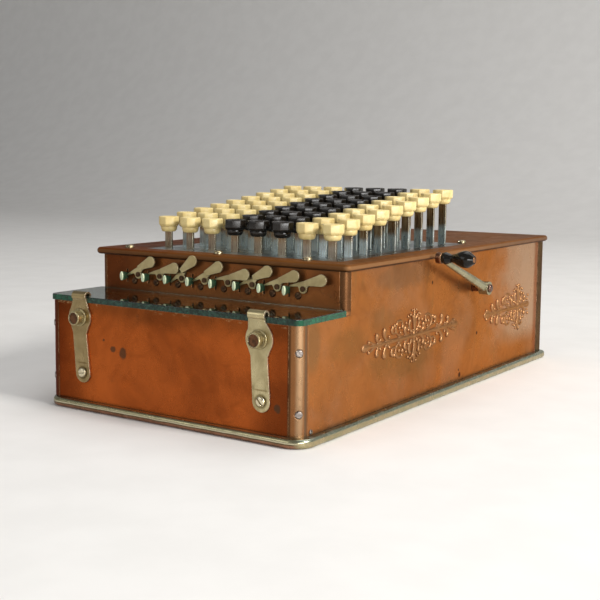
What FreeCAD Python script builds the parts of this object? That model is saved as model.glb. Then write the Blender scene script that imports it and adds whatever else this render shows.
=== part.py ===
import FreeCAD, Part
import math
import os

# Key-driven calculator in a sheet-copper case, with eight columns of nine keys.
# Sizes are in millimetres. X runs to the machine's right, Y to its back, Z up.
# The origin is the middle of the case's underside.

Vec = FreeCAD.Vector

# Case, whose width follows from the keyboard and the margins beside it
side_left_of_keys = 38.9
side_right_of_keys = 26.6
case_depth = 362.0
deck_top = 100.9
glass_top = 73.4
glass_thick = 3.6
glass_corner = 3.0
step_depth = 49.2
sheet = 1.2
post_radius = 8.0
step_post_radius = 5.0
post_wall = 2.5
back_post_width = 12.5
back_corner_radius = 2.0
joint_width = 0.8
joint_depth = 0.6
base_thick = 2.2
moulding_height = 5.75
moulding_out = 5.2
moulding_round = 2.2
moulding_run_out = 4.5
moulding_end_round = 5.0
deck_lip = 3.0
deck_rim = 4.6
deck_round = 2.2
deck_corner = 3.3

# Keys
key_pitch = 19.05
key_columns = 8
key_rows = 9
first_row_from_step = 26.2
cap_lift = 11.1
row_rise = 2.26
first_travel = 3.3
cap_across = 13.6
cap_prism = 6.7
cap_edge = 0.5
collar_height = 3.8
collar_top_radius = 5.7
collar_foot_radius = 4.5
collar_round = 1.4
stem_width = 5.6
stem_thick = 1.5
stem_in_cap = 5.0
socket_gap = 0.05
ear_width = 9.0
ear_height = 2.0

# Key guides, springs and column levers
guide_thick = 1.6
guide_gap = 0.25
opening_left = 7.0
opening_right = 15.0
opening_front = 15.5
opening_back = 10.3
plate_fit = 0.2
upper_plate_front = 23.5
plate_margin = 17.0
lower_guide_z = 62.0
plate_edge = 5.8
stop_gap = 0.3
spring_radius = 4.5
spring_wall = 0.8
foot_below_guide = 1.0
pillar_radius = 2.5
pillar_from_row = 11.5
lever_thick = 2.0
lever_gap = 0.5
drive_gap = 0.3
lever_hub_radius = 5.5
lever_front_depth = 4.0
lever_root_depth = 8.8
lever_reach = 10.0
lever_pivot_from_back = 10.0

# Rods, frames and numeral register
rod_radius = 3.0
running_gap = 0.05
seat_gap = 0.02
frame_thick = 2.0
frame_from_side = 6.5
frame_clear = 3.0
register_from_front = 24.0
wheel_below_cover = 1.7
wheel_radius = 17.5
wheel_rim = 3.0
wheel_width = 11.0
wheel_web = 3.0
wheel_hub_radius = 5.5
cover_below_glass = 4.4
window_width = 10.0
window_depth = 8.0

# Decimal pointers, cut-off knobs and studs on the upright panel
lever_block_shift = 3.8
eye_above_glass = 10.7
pointer_angles = [23.9, 12.4, 36.8, 25.0, 10.8, 23.5, 17.0, 11.8]
pointer_thick = 1.1
pointer_panel_gap = 0.4
paddle_from_panel = 3.3
knob_from_tip = 1.5
pointer_bar_rise = 3.2
paddle_inside_pitch = 3.15
paddle_radius = 3.7
bar_half_width = 1.7
eye_radius = 2.8
joggle_from_eye = 4.2
joggle_length = 1.4
eye_pin_radius = 1.2
eye_head_radius = 1.7
eye_head_thick = 0.5
eye_head_gap = 0.25
knob_drop = 1.3
knob_half_width = 1.3
knob_half_height = 2.95
shank_half_width = 0.55
shank_half_height = 2.7
shank_length = 3.0
knob_back = 5.2
knob_length = 1.3
knob_round = 0.5
blade_thick = 0.8
blade_height = 4.0
blade_inside = 16.0
slot_gap = 0.3
slot_height = 8.8
stud_offset_x = -4.2
stud_drop = 4.6
stud_radius = 2.2
stud_height = 1.1

# Glass clips
clip_from_side = [28.4, 27.9]
clip_lean = [2.4, 1.6]
clip_neck_lean = [0.0, -1.8]
clip_roll_out = 1.1
clip_thick = 1.1
clip_half_width = 5.9
clip_disc_radius = 9.5
clip_disc_below_glass = 13.4
clip_screw_z = 24.2
clip_end_radius = 6.1
clip_end_below_screw = 0.4
clip_roll_radius = 2.9
clip_roll_rise = 0.5
thumb_radii = [5.8, 4.2, 4.7]
thumb_steps = [1.0, 2.4, 2.4]
thumb_recess_radius = 3.8
thumb_recess = 0.7
thumb_shank_radius = 2.0

# Crank
crank_from_front = 226.0
crank_z = 70.8
crank_arm_from_side = 9.6
crank_length = 79.4
crank_angle = 160.0
hub_radius = 4.8
hub_half_width = 3.4
shaft_end_out = 1.9
arm_root_radius = 3.4
arm_tip_radius = 1.6
boss_radius = 3.8
boss_half_width = 1.5
spindle_radius = 1.8
ferrule_radius = 3.9
ferrule_thick = 0.9
grip_length = 22.4
grip_bead_radius = 4.1
grip_neck_radius = 2.6
grip_bulb_radius = 5.7
inner_arm_from_column = 11.6
inner_arm_thick = 2.5
inner_arm_length = 12.0
inner_arm_angle = 146.8
link_thick = 2.0
link_gap = 0.7
link_half_width = 2.5
link_pin_radius = 1.5
open_pivot_gap = 0.3

# Relief ornaments on the right side: leaf scrolls on a straight stem, about an upright spike.
# Each frond is a curve through four points, from the stem to its bead: distance from the spike, height.
ornament_from_front = [135.0, 310.0]
ornament_z = 47.3
ornament_reach = [[68.0, 66.0], [64.0, 23.0]]
ornament_relief = 0.9
ornament_spike = 18.5
spike_half_width = 1.7
stem_half_width = 1.3
leaf_length = 11.0
leaf_half_width = 2.6
frond_half_width = 1.0
bead_radius = 1.5
frond_curves = [
    [(1.0, 3.0), (4.5, 3.5), (8.5, 6.0), (6.4, 10.4)],
    [(3.0, 0.8), (8.0, 0.8), (14.5, 2.0), (12.9, 6.2)],
    [(11.0, 0.8), (20.0, 0.6), (29.5, 5.0), (23.0, 11.0)],
    [(23.0, 11.0), (20.0, 13.0), (14.0, 12.0), (16.6, 7.8)],
    [(24.0, 5.0), (27.0, 4.0), (32.0, 4.5), (30.0, 8.6)],
    [(27.0, 0.8), (35.0, 0.8), (41.5, 2.0), (40.3, 8.2)],
    [(39.0, 0.8), (46.0, 0.8), (50.6, 1.6), (49.8, 6.0)],
    [(50.0, 0.8), (54.0, 1.0), (56.0, 3.2), (60.0, 3.2)],
]
frond_clear = 3.5
spike_leaf = [(0.3, 4.0), (0.6, 9.0), (2.0, 13.5), (5.5, 14.3)]

# Screws
post_screw_heights = [18.8, 54.0]
post_screw_radius = 2.2
post_screw_height = 1.0
post_shank_radius = 1.3
post_seat = 0.5
base_screw_radius = 1.5
base_screw_from_post = 3.0
base_screw_above_moulding = 1.9
clip_screw_radius = 3.2
deck_screw_radius = 3.1
deck_screw_front = 19.7
deck_screw_back = 13.8
deck_screw_side = 20.4
pad_screw_shift = [-8.2, 60.8]
back_screw_outside = [5.5, 9.6]
screw_slot = 0.9
screw_dome = 0.75
clip_screw_height = 1.9
clip_slot_turn = [8.0, -48.0]
deck_screw_height = 2.2

# Places worked out from the sizes above
keys_width = (key_columns - 1) * key_pitch
case_width = keys_width + side_left_of_keys + side_right_of_keys
key_block_x = (side_left_of_keys - side_right_of_keys) / 2
lever_block_x = key_block_x - lever_block_shift
side_x = case_width / 2
front_y = -case_depth / 2
back_y = case_depth / 2
step_y = front_y + step_depth
glass_floor = glass_top - glass_thick
deck_floor = deck_top - sheet
first_row_y = step_y + first_row_from_step
last_row_y = first_row_y + (key_rows - 1) * key_pitch
guide_floor = deck_floor - guide_thick
lower_guide_top = lower_guide_z + guide_thick
foot_z = lower_guide_z - foot_below_guide
lever_pivot_y = back_y - lever_pivot_from_back
cover_z = glass_floor - cover_below_glass - sheet
register_y = front_y + register_from_front
register_z = cover_z - wheel_below_cover - wheel_radius
frame_inner_x = side_x - frame_from_side - frame_thick
eye_z = glass_top + eye_above_glass
pointer_tip_reach = key_pitch / 2
paddle_centre = key_pitch - paddle_inside_pitch
knob_offset_x = -pointer_tip_reach - knob_from_tip
clip_x = [clip_from_side[0] - side_x, side_x - clip_from_side[1]]
clip_disc_z = glass_top - clip_disc_below_glass
crank_y = front_y + crank_from_front
crank_arm_x = side_x + crank_arm_from_side
inner_arm_x = key_block_x + keys_width / 2 + inner_arm_from_column


def column_x(column, block_x=key_block_x):
    return block_x + (column - (key_columns - 1) / 2) * key_pitch


def row_y(row):
    return first_row_y + row * key_pitch


def travel(row):
    return first_travel + row * row_rise


def lever_top(y):
    # The levers' upper edge lies just under the lowest point that each row's feet reach.
    return foot_z - lever_gap - travel((y - first_row_y) / key_pitch)


def box(x0, x1, y0, y1, z0, z1):
    return Part.makeBox(x1 - x0, y1 - y0, z1 - z0, Vec(x0, y0, z0))


def rod_x(x0, x1, y, z, radius):
    return Part.makeCylinder(radius, x1 - x0, Vec(x0, y, z), Vec(1, 0, 0))


def rod_y(x, y0, y1, z, radius):
    return Part.makeCylinder(radius, y1 - y0, Vec(x, y0, z), Vec(0, 1, 0))


def rod_z(x, y, z0, z1, radius):
    return Part.makeCylinder(radius, z1 - z0, Vec(x, y, z0))


def slab_x(points, x0, x1):
    # A plate lying across X, from an outline of (y, z) points.
    corners = [Vec(x0, y, z) for y, z in points]
    return Part.Face(Part.makePolygon(corners + corners[:1])).extrude(Vec(x1 - x0, 0, 0))


def slab_y(points, y0, y1):
    # A plate lying across Y, from an outline of (x, z) points.
    corners = [Vec(x, y0, z) for x, z in points]
    return Part.Face(Part.makePolygon(corners + corners[:1])).extrude(Vec(0, y1 - y0, 0))


def turned(profile, origin, direction):
    # A turned piece, from (radius, distance along the axis) points.
    corners = [Vec(r, 0, z) for r, z in profile]
    solid = Part.Face(Part.makePolygon(corners + corners[:1])).revolve(Vec(0, 0, 0), Vec(0, 0, 1), 360)
    solid.Placement = FreeCAD.Placement(Vec(*origin), FreeCAD.Rotation(Vec(0, 0, 1), Vec(*direction)))
    return solid


def is_upright(edge):
    ends = [vertex.Point for vertex in edge.Vertexes]
    return len(ends) == 2 and math.hypot(ends[0].x - ends[1].x, ends[0].y - ends[1].y) < 1e-6


def rounded_block(x0, x1, y0, y1, z0, z1, corner):
    block = box(x0, x1, y0, y1, z0, z1)
    return block.makeFillet(corner, [edge for edge in block.Edges if is_upright(edge)])


def uneven_block(x0, x1, y0, y1, z0, z1, front_corner, back_corner):
    # A block whose two front upright edges are rounded by one radius and the back ones by another.
    block = box(x0, x1, y0, y1, z0, z1)
    for y, corner in ((y0, front_corner), (y1, back_corner)):
        edges = [e for e in block.Edges if is_upright(e) and abs(e.Vertexes[0].Point.y - y) < 1e-6]
        block = block.makeFillet(corner, edges)
    return block


def edges_at(shape, z):
    return [edge for edge in shape.Edges if all(abs(v.Point.z - z) < 1e-6 for v in edge.Vertexes)]


def joined(pieces):
    return pieces[0].multiFuse(pieces[1:]).removeSplitter()


def save(name, pieces):
    solids = []
    for piece in pieces:
        solids.extend(piece.Solids)
    shape = solids[0] if len(solids) == 1 else Part.Compound(solids)
    shape.exportStep("parts/" + name + ".step")
    print(name, len(solids), "solids, valid", shape.isValid(), "volume", round(shape.Volume, 1))


def screw(origin, direction, radius, height, shank_radius, shank_length, slot_turn=0.0):
    # A slotted round-headed screw whose head stands on origin and points along direction.
    head = Part.makeCylinder(radius, height)
    head = head.makeFillet(height * screw_dome, edges_at(head, height))
    slot = box(-radius - 1, radius + 1, -screw_slot / 2, screw_slot / 2, height * 0.35, height + 1)
    slot.rotate(Vec(0, 0, 0), Vec(0, 0, 1), slot_turn)
    shank = Part.makeCylinder(shank_radius, shank_length, Vec(0, 0, -shank_length))
    solid = head.cut(slot).fuse(shank)
    solid.Placement = FreeCAD.Placement(Vec(*origin), FreeCAD.Rotation(Vec(0, 0, 1), Vec(*direction)))
    return solid


def case_outline(z0, z1):
    return uneven_block(-side_x, side_x, front_y, back_y, z0, z1, post_radius, back_corner_radius)


def base_plate():
    return case_outline(0, base_thick)


def base_moulding():
    # The moulding stands out at the front and the right only, and runs out at both ends.
    block = uneven_block(-side_x, side_x + moulding_out, front_y - moulding_out, back_y, 0, moulding_height,
                         post_radius + moulding_out, moulding_end_round)
    block = block.makeFillet(moulding_round, edges_at(block, moulding_height) + edges_at(block, 0))
    strip = block.cut(case_outline(-1, moulding_height + 1))
    end = front_y + post_radius - moulding_run_out
    strip = strip.cut(box(-side_x - 1, 0, end, back_y, -1, moulding_height + 1))
    return strip.cut(box(-side_x, side_x, 0, back_y + 1, -1, moulding_height + 1))


def front_post(side, radius, floor, top, centre_y):
    # A quarter-round post: side is +1 at the right.
    centre_x = side * (side_x - radius)
    ring = rod_z(centre_x, centre_y, floor, top, radius).cut(
        rod_z(centre_x, centre_y, floor - 1, top + 1, radius - post_wall))
    x0, x1 = sorted((centre_x, centre_x + side * (radius + 1)))
    return ring.common(box(x0, x1, centre_y - radius - 1, centre_y, floor, top))


def back_post(side):
    # A folded angle with a nearly square corner, a fine joint line along each leg's free edge.
    inner_x = side_x - sheet
    shell = case_outline(base_thick, deck_floor).cut(
        box(-inner_x, inner_x, front_y, back_y - sheet, base_thick - 1, deck_floor + 1))
    x0, x1 = sorted((side * (side_x - back_post_width), side * (side_x + 1)))
    y0 = back_y - back_post_width
    post = shell.common(box(x0, x1, y0, back_y + 1, base_thick, deck_floor))
    x0, x1 = sorted((side * (side_x - joint_depth), side * (side_x + 1)))
    post = post.cut(box(x0, x1, y0 - 1, y0 + joint_width, 0, deck_floor + 1))
    x0, x1 = sorted((side * (side_x - back_post_width - 1), side * (side_x - back_post_width + joint_width)))
    return post.cut(box(x0, x1, back_y - joint_depth, back_y + 1, 0, deck_floor + 1))


def post_axis(side):
    # Centre of a front post, and the way its screws point.
    return side * (side_x - post_radius), front_y + post_radius, (side * math.sqrt(0.5), -math.sqrt(0.5), 0)


def post_screw_places():
    # Seat, direction, grip length and slot angle of each screw.
    # The front posts' screws sit on the curve, the back posts' on the flat leg behind.
    places = []
    seat = post_radius - post_seat
    for side in (-1, 1):
        x, y, way = post_axis(side)
        leg = side * (side_x - back_post_width / 2)
        for i, z in enumerate(post_screw_heights):
            slot_turn = 55 - 60 * i
            places.append(((x + seat * way[0], y + seat * way[1], z), way, post_wall, slot_turn))
            places.append(((leg, back_y, z), (0, 1, 0), sheet, slot_turn))
    return places


def post_screws():
    return [screw(origin, way, post_screw_radius, post_screw_height, post_shank_radius, grip + 1.5, slot_turn)
            for origin, way, grip, slot_turn in post_screw_places()]


def post_screw_cuts():
    cuts = []
    for place in post_screw_places():
        seat = Vec(*place[0])
        out = Vec(*place[1])
        cuts.append(Part.makeCylinder(post_screw_radius + 0.3, 2, seat, out))
        cuts.append(Part.makeCylinder(post_shank_radius + seat_gap, post_radius, seat - out * post_radius, out))
    return cuts


def corner_posts():
    posts = []
    for side in (-1, 1):
        posts.append(front_post(side, post_radius, base_thick, glass_floor, front_y + post_radius))
        posts.append(back_post(side))
        posts.append(front_post(side, step_post_radius, glass_floor, deck_floor, step_y + step_post_radius))
    cuts = Part.Compound(post_screw_cuts())
    return [post.cut(cuts) for post in posts]


def side_panel(side):
    outline = [
        (front_y + post_radius, base_thick),
        (back_y - back_post_width, base_thick),
        (back_y - back_post_width, deck_floor),
        (step_y + step_post_radius, deck_floor),
        (step_y + step_post_radius, glass_floor),
        (front_y + post_radius, glass_floor),
    ]
    x0, x1 = sorted((side * (side_x - sheet), side * side_x))
    panel = slab_x(outline, x0, x1)
    if side > 0:
        panel = panel.cut(rod_x(x0 - 1, x1 + 1, crank_y, crank_z, rod_radius + 0.3))
    y, z = base_screw_place()
    return panel.cut(rod_x(x0 - 1, x1 + 1, y, z, 0.9 + seat_gap))


def base_screw_place():
    return front_y + post_radius + base_screw_from_post, moulding_height + base_screw_above_moulding


def curve_points(controls, count=9):
    # Points along a cubic curve, from its four control points.
    a, b, c, d = controls
    points = []
    for i in range(count):
        t = i / (count - 1)
        u = 1 - t
        weights = (u * u * u, 3 * u * u * t, 3 * u * t * t, t * t * t)
        points.append(tuple(sum(w * p[k] for w, p in zip(weights, (a, b, c, d))) for k in (0, 1)))
    return points


def frond(controls, x0, x1, out, up):
    # A tapered strip along the curve with a round bead at its end; out and up turn it to its quarter.
    points = [(out * s, up * t) for s, t in curve_points(controls)]
    left, right = [], []
    for i, (s, t) in enumerate(points):
        before, after = points[max(i - 1, 0)], points[min(i + 1, len(points) - 1)]
        ds, dt = after[0] - before[0], after[1] - before[1]
        run = math.hypot(ds, dt)
        half = frond_half_width * (0.6 + 0.4 * i / (len(points) - 1))
        left.append((s - dt / run * half, t + ds / run * half))
        right.append((s + dt / run * half, t - ds / run * half))
    bead = rod_x(x0, x1, points[-1][0], points[-1][1], bead_radius)
    return [slab_x(left + right[::-1], x0, x1), bead]


def side_ornament(i):
    x0, x1 = side_x, side_x + ornament_relief
    front_reach, back_reach = ornament_reach[i]
    leaf = leaf_length
    half = leaf_half_width
    stem = [(-front_reach, 0), (leaf * 0.4 - front_reach, half), (leaf - front_reach, stem_half_width * 0.6),
            (0, stem_half_width), (back_reach - leaf, stem_half_width * 0.6), (back_reach - leaf * 0.4, half),
            (back_reach, 0)]
    outline = stem + [(y, -z) for y, z in stem[-2:0:-1]]
    wide = spike_half_width
    top = ornament_spike
    spike = [(0, top), (wide, top * 0.7), (wide * 0.5, top * 0.3), (wide * 1.4, 0)]
    right = spike + [(y, -z) for y, z in spike[-2::-1]]
    spike_outline = right + [(-y, z) for y, z in right[-2:0:-1]]
    pieces = [slab_x(outline, x0, x1), slab_x(spike_outline, x0, x1)]
    for out, reach in ((-1, front_reach), (1, back_reach)):
        for up in (-1, 1):
            for controls in frond_curves:
                if max(s for s, t in controls) < reach - frond_clear:
                    pieces += frond(controls, x0, x1, out, up)
            pieces += frond(spike_leaf, x0, x1, out, up)
    ornament = joined(pieces)
    ornament.translate(Vec(0, front_y + ornament_from_front[i], ornament_z))
    return ornament


def front_panel():
    x = side_x - post_radius
    panel = box(-x, x, front_y, front_y + sheet, base_thick, glass_floor)
    for i in range(2):
        panel = panel.cut(rod_y(clip_x[i], front_y - 1, front_y + sheet + 1, clip_disc_z,
                                thumb_shank_radius + seat_gap))
        panel = panel.cut(rod_y(clip_x[i] + clip_lean[i], front_y - 1, front_y + sheet + 1, clip_screw_z,
                                1.3 + seat_gap))
    return panel


def back_panel():
    x = side_x - back_post_width
    return box(-x, x, back_y - sheet, back_y, base_thick, deck_floor)


def lever_panel():
    x = side_x - step_post_radius
    panel = box(-x, x, step_y, step_y + sheet, (cover_z + glass_floor) / 2, deck_floor)
    for column in range(key_columns):
        eye_x = column_x(column, lever_block_x)
        knob_x = eye_x + knob_offset_x
        half = blade_thick / 2 + slot_gap
        low = eye_z - knob_drop - slot_height / 2
        x0, x1 = knob_x - half, knob_x + half
        panel = panel.cut(box(x0, x1, step_y - 1, step_y + sheet + 1, low, low + slot_height))
        panel = panel.cut(rod_y(eye_x, step_y - 1, step_y + sheet + 1, eye_z, eye_pin_radius + seat_gap))
        panel = panel.cut(rod_y(eye_x + stud_offset_x, step_y - 1, step_y + sheet + 1, eye_z - stud_drop,
                                1.2 + seat_gap))
    return panel


def key_block(grow):
    # The X and Y limits of the keyboard, grown all round.
    return (column_x(0) - grow, column_x(key_columns - 1) + grow, first_row_y - grow, last_row_y + grow)


def deck_opening(inset):
    # The opening that the upper guide plate fills, made smaller by the inset.
    return (column_x(0) - opening_left + inset, column_x(key_columns - 1) + opening_right - inset,
            first_row_y - opening_front + inset, last_row_y + opening_back - inset)


def deck_cover():
    x = side_x + deck_lip
    low = deck_top - deck_rim
    cover = rounded_block(-x, x, step_y - deck_lip, back_y + deck_lip, low, deck_top, deck_corner)
    cover = cover.makeFillet(deck_round, edges_at(cover, deck_top) + edges_at(cover, low))
    cover = cover.cut(uneven_block(-side_x, side_x, step_y, back_y, low - 1, deck_floor, step_post_radius,
                                   back_corner_radius))
    cover = cover.cut(box(*deck_opening(0), low - 1, deck_top + 1))
    for x, y in deck_screw_places():
        cover = cover.cut(rod_z(x, y, low - 1, deck_top + 1, 1.2 + seat_gap))
    return cover


def deck_screw_places():
    front = first_row_y - deck_screw_front
    back = last_row_y + deck_screw_back
    return [
        (deck_screw_side - side_x, front),
        (key_block_x + pad_screw_shift[0], front),
        (key_block_x + pad_screw_shift[1], front),
        (column_x(key_columns - 1) + back_screw_outside[1], back),
        (column_x(0) - back_screw_outside[0], back),
    ]


def stem_slots(z0, z1):
    slots = []
    for row in range(key_rows):
        for column in range(key_columns):
            x, y = column_x(column), row_y(row)
            dx, dy = stem_width / 2 + guide_gap, stem_thick / 2 + guide_gap
            slots.append(box(x - dx, x + dx, y - dy, y + dy, z0 - 1, z1 + 1))
    return Part.Compound(slots)


def key_guide_plates():
    # The upper plate has a raised field that fills the deck's opening.
    x = frame_inner_x + frame_thick
    y0, y1 = key_block(plate_margin)[2:]
    upper = box(-x, x, first_row_y - upper_plate_front, y1, guide_floor, deck_floor)
    upper = joined([upper, box(*deck_opening(plate_fit), deck_floor, deck_top)])
    upper = upper.cut(stem_slots(guide_floor, deck_top))
    for spot_x, spot_y in deck_screw_places():
        upper = upper.cut(rod_z(spot_x, spot_y, guide_floor - 1, deck_top + 1, 1.2 + seat_gap))
    x0, x1 = key_block(plate_edge)[:2]
    lower = box(x0, x1, y0, y1, lower_guide_z, lower_guide_top)
    return [upper, lower.cut(stem_slots(lower_guide_z, lower_guide_top))]


def key_springs():
    springs = []
    top = guide_floor - stop_gap - ear_height - drive_gap
    for row in range(key_rows):
        for column in range(key_columns):
            x, y = column_x(column), row_y(row)
            sleeve = rod_z(x, y, lower_guide_top, top, spring_radius)
            springs.append(sleeve.cut(rod_z(x, y, lower_guide_top - 1, top + 1, spring_radius - spring_wall)))
    return springs


def cap_floor(row):
    return deck_top + cap_lift + row * row_rise


def key_top(x, y, floor):
    # An eight-sided button on a round collar, with a socket for its stem.
    waist = floor + collar_height
    corner_radius = cap_across / 2 / math.cos(math.pi / 8)
    corners = []
    for i in range(8):
        turn = math.pi / 8 + i * math.pi / 4
        corners.append(Vec(x + corner_radius * math.cos(turn), y + corner_radius * math.sin(turn), waist))
    prism = Part.Face(Part.makePolygon(corners + corners[:1])).extrude(Vec(0, 0, cap_prism))
    prism = prism.makeChamfer(cap_edge, edges_at(prism, waist + cap_prism))
    collar = turned([
        (0, 0), (collar_foot_radius - collar_round / 2, 0), (collar_foot_radius, collar_round / 3),
        (collar_top_radius, collar_height * 0.6), (collar_top_radius, collar_height - 0.5),
        (collar_top_radius - 0.5, collar_height), (0, collar_height)], (x, y, floor), (0, 0, 1))
    dx, dy = stem_width / 2 + socket_gap, stem_thick / 2 + socket_gap
    socket = box(x - dx, x + dx, y - dy, y + dy, floor - 1, floor + stem_in_cap)
    return prism.fuse(collar).cut(socket)


def key_stem(x, y, row):
    top = cap_floor(row) + stem_in_cap
    drives = row == key_rows - 1
    foot = lever_top(y) + drive_gap if drives else foot_z
    bar = box(x - stem_width / 2, x + stem_width / 2, y - stem_thick / 2, y + stem_thick / 2, foot, top)
    ear_top = guide_floor - stop_gap
    ears = box(x - ear_width / 2, x + ear_width / 2, y - stem_thick / 2, y + stem_thick / 2,
               ear_top - ear_height, ear_top)
    return joined([bar, ears])


def column_levers():
    pivot_z = lever_pivot_z()
    tip_y = first_row_y - lever_reach
    levers = []
    for column in range(key_columns):
        x0 = column_x(column) - lever_thick / 2
        x1 = x0 + lever_thick
        bar = slab_x([
            (tip_y, lever_top(tip_y) - lever_front_depth), (tip_y, lever_top(tip_y)),
            (lever_pivot_y, lever_top(lever_pivot_y)),
            (lever_pivot_y, lever_top(lever_pivot_y) - lever_root_depth)], x0, x1)
        hub = rod_x(x0 - 1, x1 + 1, lever_pivot_y, pivot_z, lever_hub_radius)
        lever = joined([bar, hub])
        levers.append(lever.cut(rod_x(x0 - 2, x1 + 2, lever_pivot_y, pivot_z, rod_radius + running_gap)))
    return levers


def lever_pivot_z():
    return lever_top(lever_pivot_y) - lever_root_depth / 2


def frame_rods():
    x = frame_inner_x + frame_thick
    rods = [
        rod_x(-x, x, register_y, register_z, rod_radius),
        rod_x(-x, x, lever_pivot_y, lever_pivot_z(), rod_radius),
    ]
    for column in (0, key_columns - 1):
        for y in (first_row_y - pillar_from_row, last_row_y + pillar_from_row):
            rods.append(rod_z(column_x(column), y, lower_guide_top, guide_floor, pillar_radius))
    return rods


def mechanism_frames():
    outline = [
        (front_y + frame_clear, base_thick),
        (back_y - frame_clear, base_thick),
        (back_y - frame_clear, guide_floor),
        (step_y + frame_clear, guide_floor),
        (step_y + frame_clear, cover_z),
        (front_y + frame_clear, cover_z),
    ]
    frames = []
    for side in (-1, 1):
        x0, x1 = sorted((side * frame_inner_x, side * (frame_inner_x + frame_thick)))
        frame = slab_x(outline, x0, x1)
        frame = frame.cut(rod_x(x0 - 1, x1 + 1, register_y, register_z, rod_radius + seat_gap))
        frame = frame.cut(rod_x(x0 - 1, x1 + 1, lever_pivot_y, lever_pivot_z(), rod_radius + seat_gap))
        if side > 0:
            frame = frame.cut(rod_x(x0 - 1, x1 + 1, crank_y, crank_z, rod_radius + running_gap))
        frames.append(frame)
    return frames


def register_cover():
    x = side_x - sheet - 0.1
    cover = box(-x, x, front_y + sheet + 0.1, step_y - 0.2, cover_z, cover_z + sheet)
    for side in (-1, 1):
        centre_x, centre_y = post_axis(side)[:2]
        corner_x = centre_x + side * post_radius
        notch = box(min(centre_x, corner_x) - 0.1, max(centre_x, corner_x) + 0.1, front_y, centre_y + 0.1,
                    cover_z - 1, cover_z + sheet + 1)
        inside = rod_z(centre_x, centre_y, cover_z - 1, cover_z + sheet + 1, post_radius - post_wall - 0.1)
        cover = cover.cut(notch.cut(inside))
    for column in range(-1, key_columns):
        wx = column_x(column)
        cover = cover.cut(box(wx - window_width / 2, wx + window_width / 2, register_y - window_depth / 2,
                              register_y + window_depth / 2, cover_z - 1, cover_z + sheet + 1))
    return cover


def register_glass():
    c = glass_corner
    x0, x1, y0, y1 = -side_x, side_x, front_y, step_y - 0.2
    corners = [(x0 + c, y0), (x1 - c, y0), (x1, y0 + c), (x1, y1), (x0, y1), (x0, y0 + c)]
    points = [Vec(x, y, glass_floor) for x, y in corners]
    glass = Part.Face(Part.makePolygon(points + points[:1])).extrude(Vec(0, 0, glass_thick))
    return glass.makeChamfer(0.4, edges_at(glass, glass_top))


def arm_points(angle):
    # The far pin of an arm of the clearing linkage, as offsets in Y and Z.
    return inner_arm_length * math.cos(math.radians(angle)), inner_arm_length * math.sin(math.radians(angle))


def clearing_arm(y, z, hub):
    # An arm with a pin at its far end, pointing to the middle of the machine.
    dy, dz = arm_points(inner_arm_angle)
    x0, x1 = inner_arm_x - inner_arm_thick / 2, inner_arm_x + inner_arm_thick / 2
    length = inner_arm_length
    bar = slab_x([(0, -3), (length, -3), (length, 3), (0, 3)], x0, x1)
    bar.rotate(Vec(0, 0, 0), Vec(1, 0, 0), inner_arm_angle)
    bar.translate(Vec(0, y, z))
    tip = rod_x(x0, x1, y + dy, z + dz, 3)
    pin = rod_x(x0 - link_gap * 2 - link_thick, x0, y + dy, z + dz, link_pin_radius)
    return [bar, tip, pin, rod_x(x0, x1, y, z, hub)]


def numeral_wheels():
    half = wheel_width / 2
    outer, rim, hub, bore = wheel_radius, wheel_radius - wheel_rim, wheel_hub_radius, rod_radius + running_gap
    web = wheel_web / 2
    profile = [
        (bore, -half), (hub, -half), (hub, -web), (rim, -web), (rim, -half), (outer, -half),
        (outer, half), (rim, half), (rim, web), (hub, web), (hub, half), (bore, half)]
    wheels = []
    for column in range(-1, key_columns):
        wheels.append(turned(profile, (column_x(column), register_y, register_z), (1, 0, 0)))
    arm = joined(clearing_arm(register_y, register_z, rod_radius + 1.5))
    wheels.append(arm.cut(rod_x(0, side_x, register_y, register_z, rod_radius + running_gap)))
    return wheels


def crank_shaft():
    arm = clearing_arm(crank_y, crank_z, rod_radius + 1.5)
    start = inner_arm_x - inner_arm_thick / 2
    shaft = rod_x(start, crank_arm_x + hub_half_width + shaft_end_out, crank_y, crank_z, rod_radius)
    end = shaft.BoundBox.XMax
    end_edges = [e for e in shaft.Edges if all(abs(v.Point.x - end) < 1e-6 for v in e.Vertexes)]
    return joined([shaft.makeFillet(shaft_end_out * 0.9, end_edges)] + arm)


def clearing_link():
    dy, dz = arm_points(inner_arm_angle)
    x1 = inner_arm_x - inner_arm_thick / 2 - link_gap
    x0 = x1 - link_thick
    front = (register_y + dy, register_z + dz)
    back = (crank_y + dy, crank_z + dz)
    run = math.hypot(back[0] - front[0], back[1] - front[1])
    across = (-(back[1] - front[1]) / run * link_half_width, (back[0] - front[0]) / run * link_half_width)
    bar = slab_x([
        (front[0] - across[0], front[1] - across[1]), (back[0] - across[0], back[1] - across[1]),
        (back[0] + across[0], back[1] + across[1]), (front[0] + across[0], front[1] + across[1])], x0, x1)
    ends = [rod_x(x0, x1, y, z, link_half_width + 0.8) for y, z in (front, back)]
    link = joined([bar] + ends)
    link = link.cut(rod_x(x0 - 1, x1 + 1, front[0], front[1], link_pin_radius + open_pivot_gap))
    return link.cut(rod_x(x0 - 1, x1 + 1, back[0], back[1], link_pin_radius + running_gap))


def grip_axis():
    turn = math.radians(crank_angle)
    return crank_y + crank_length * math.cos(turn), crank_z + crank_length * math.sin(turn)


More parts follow.
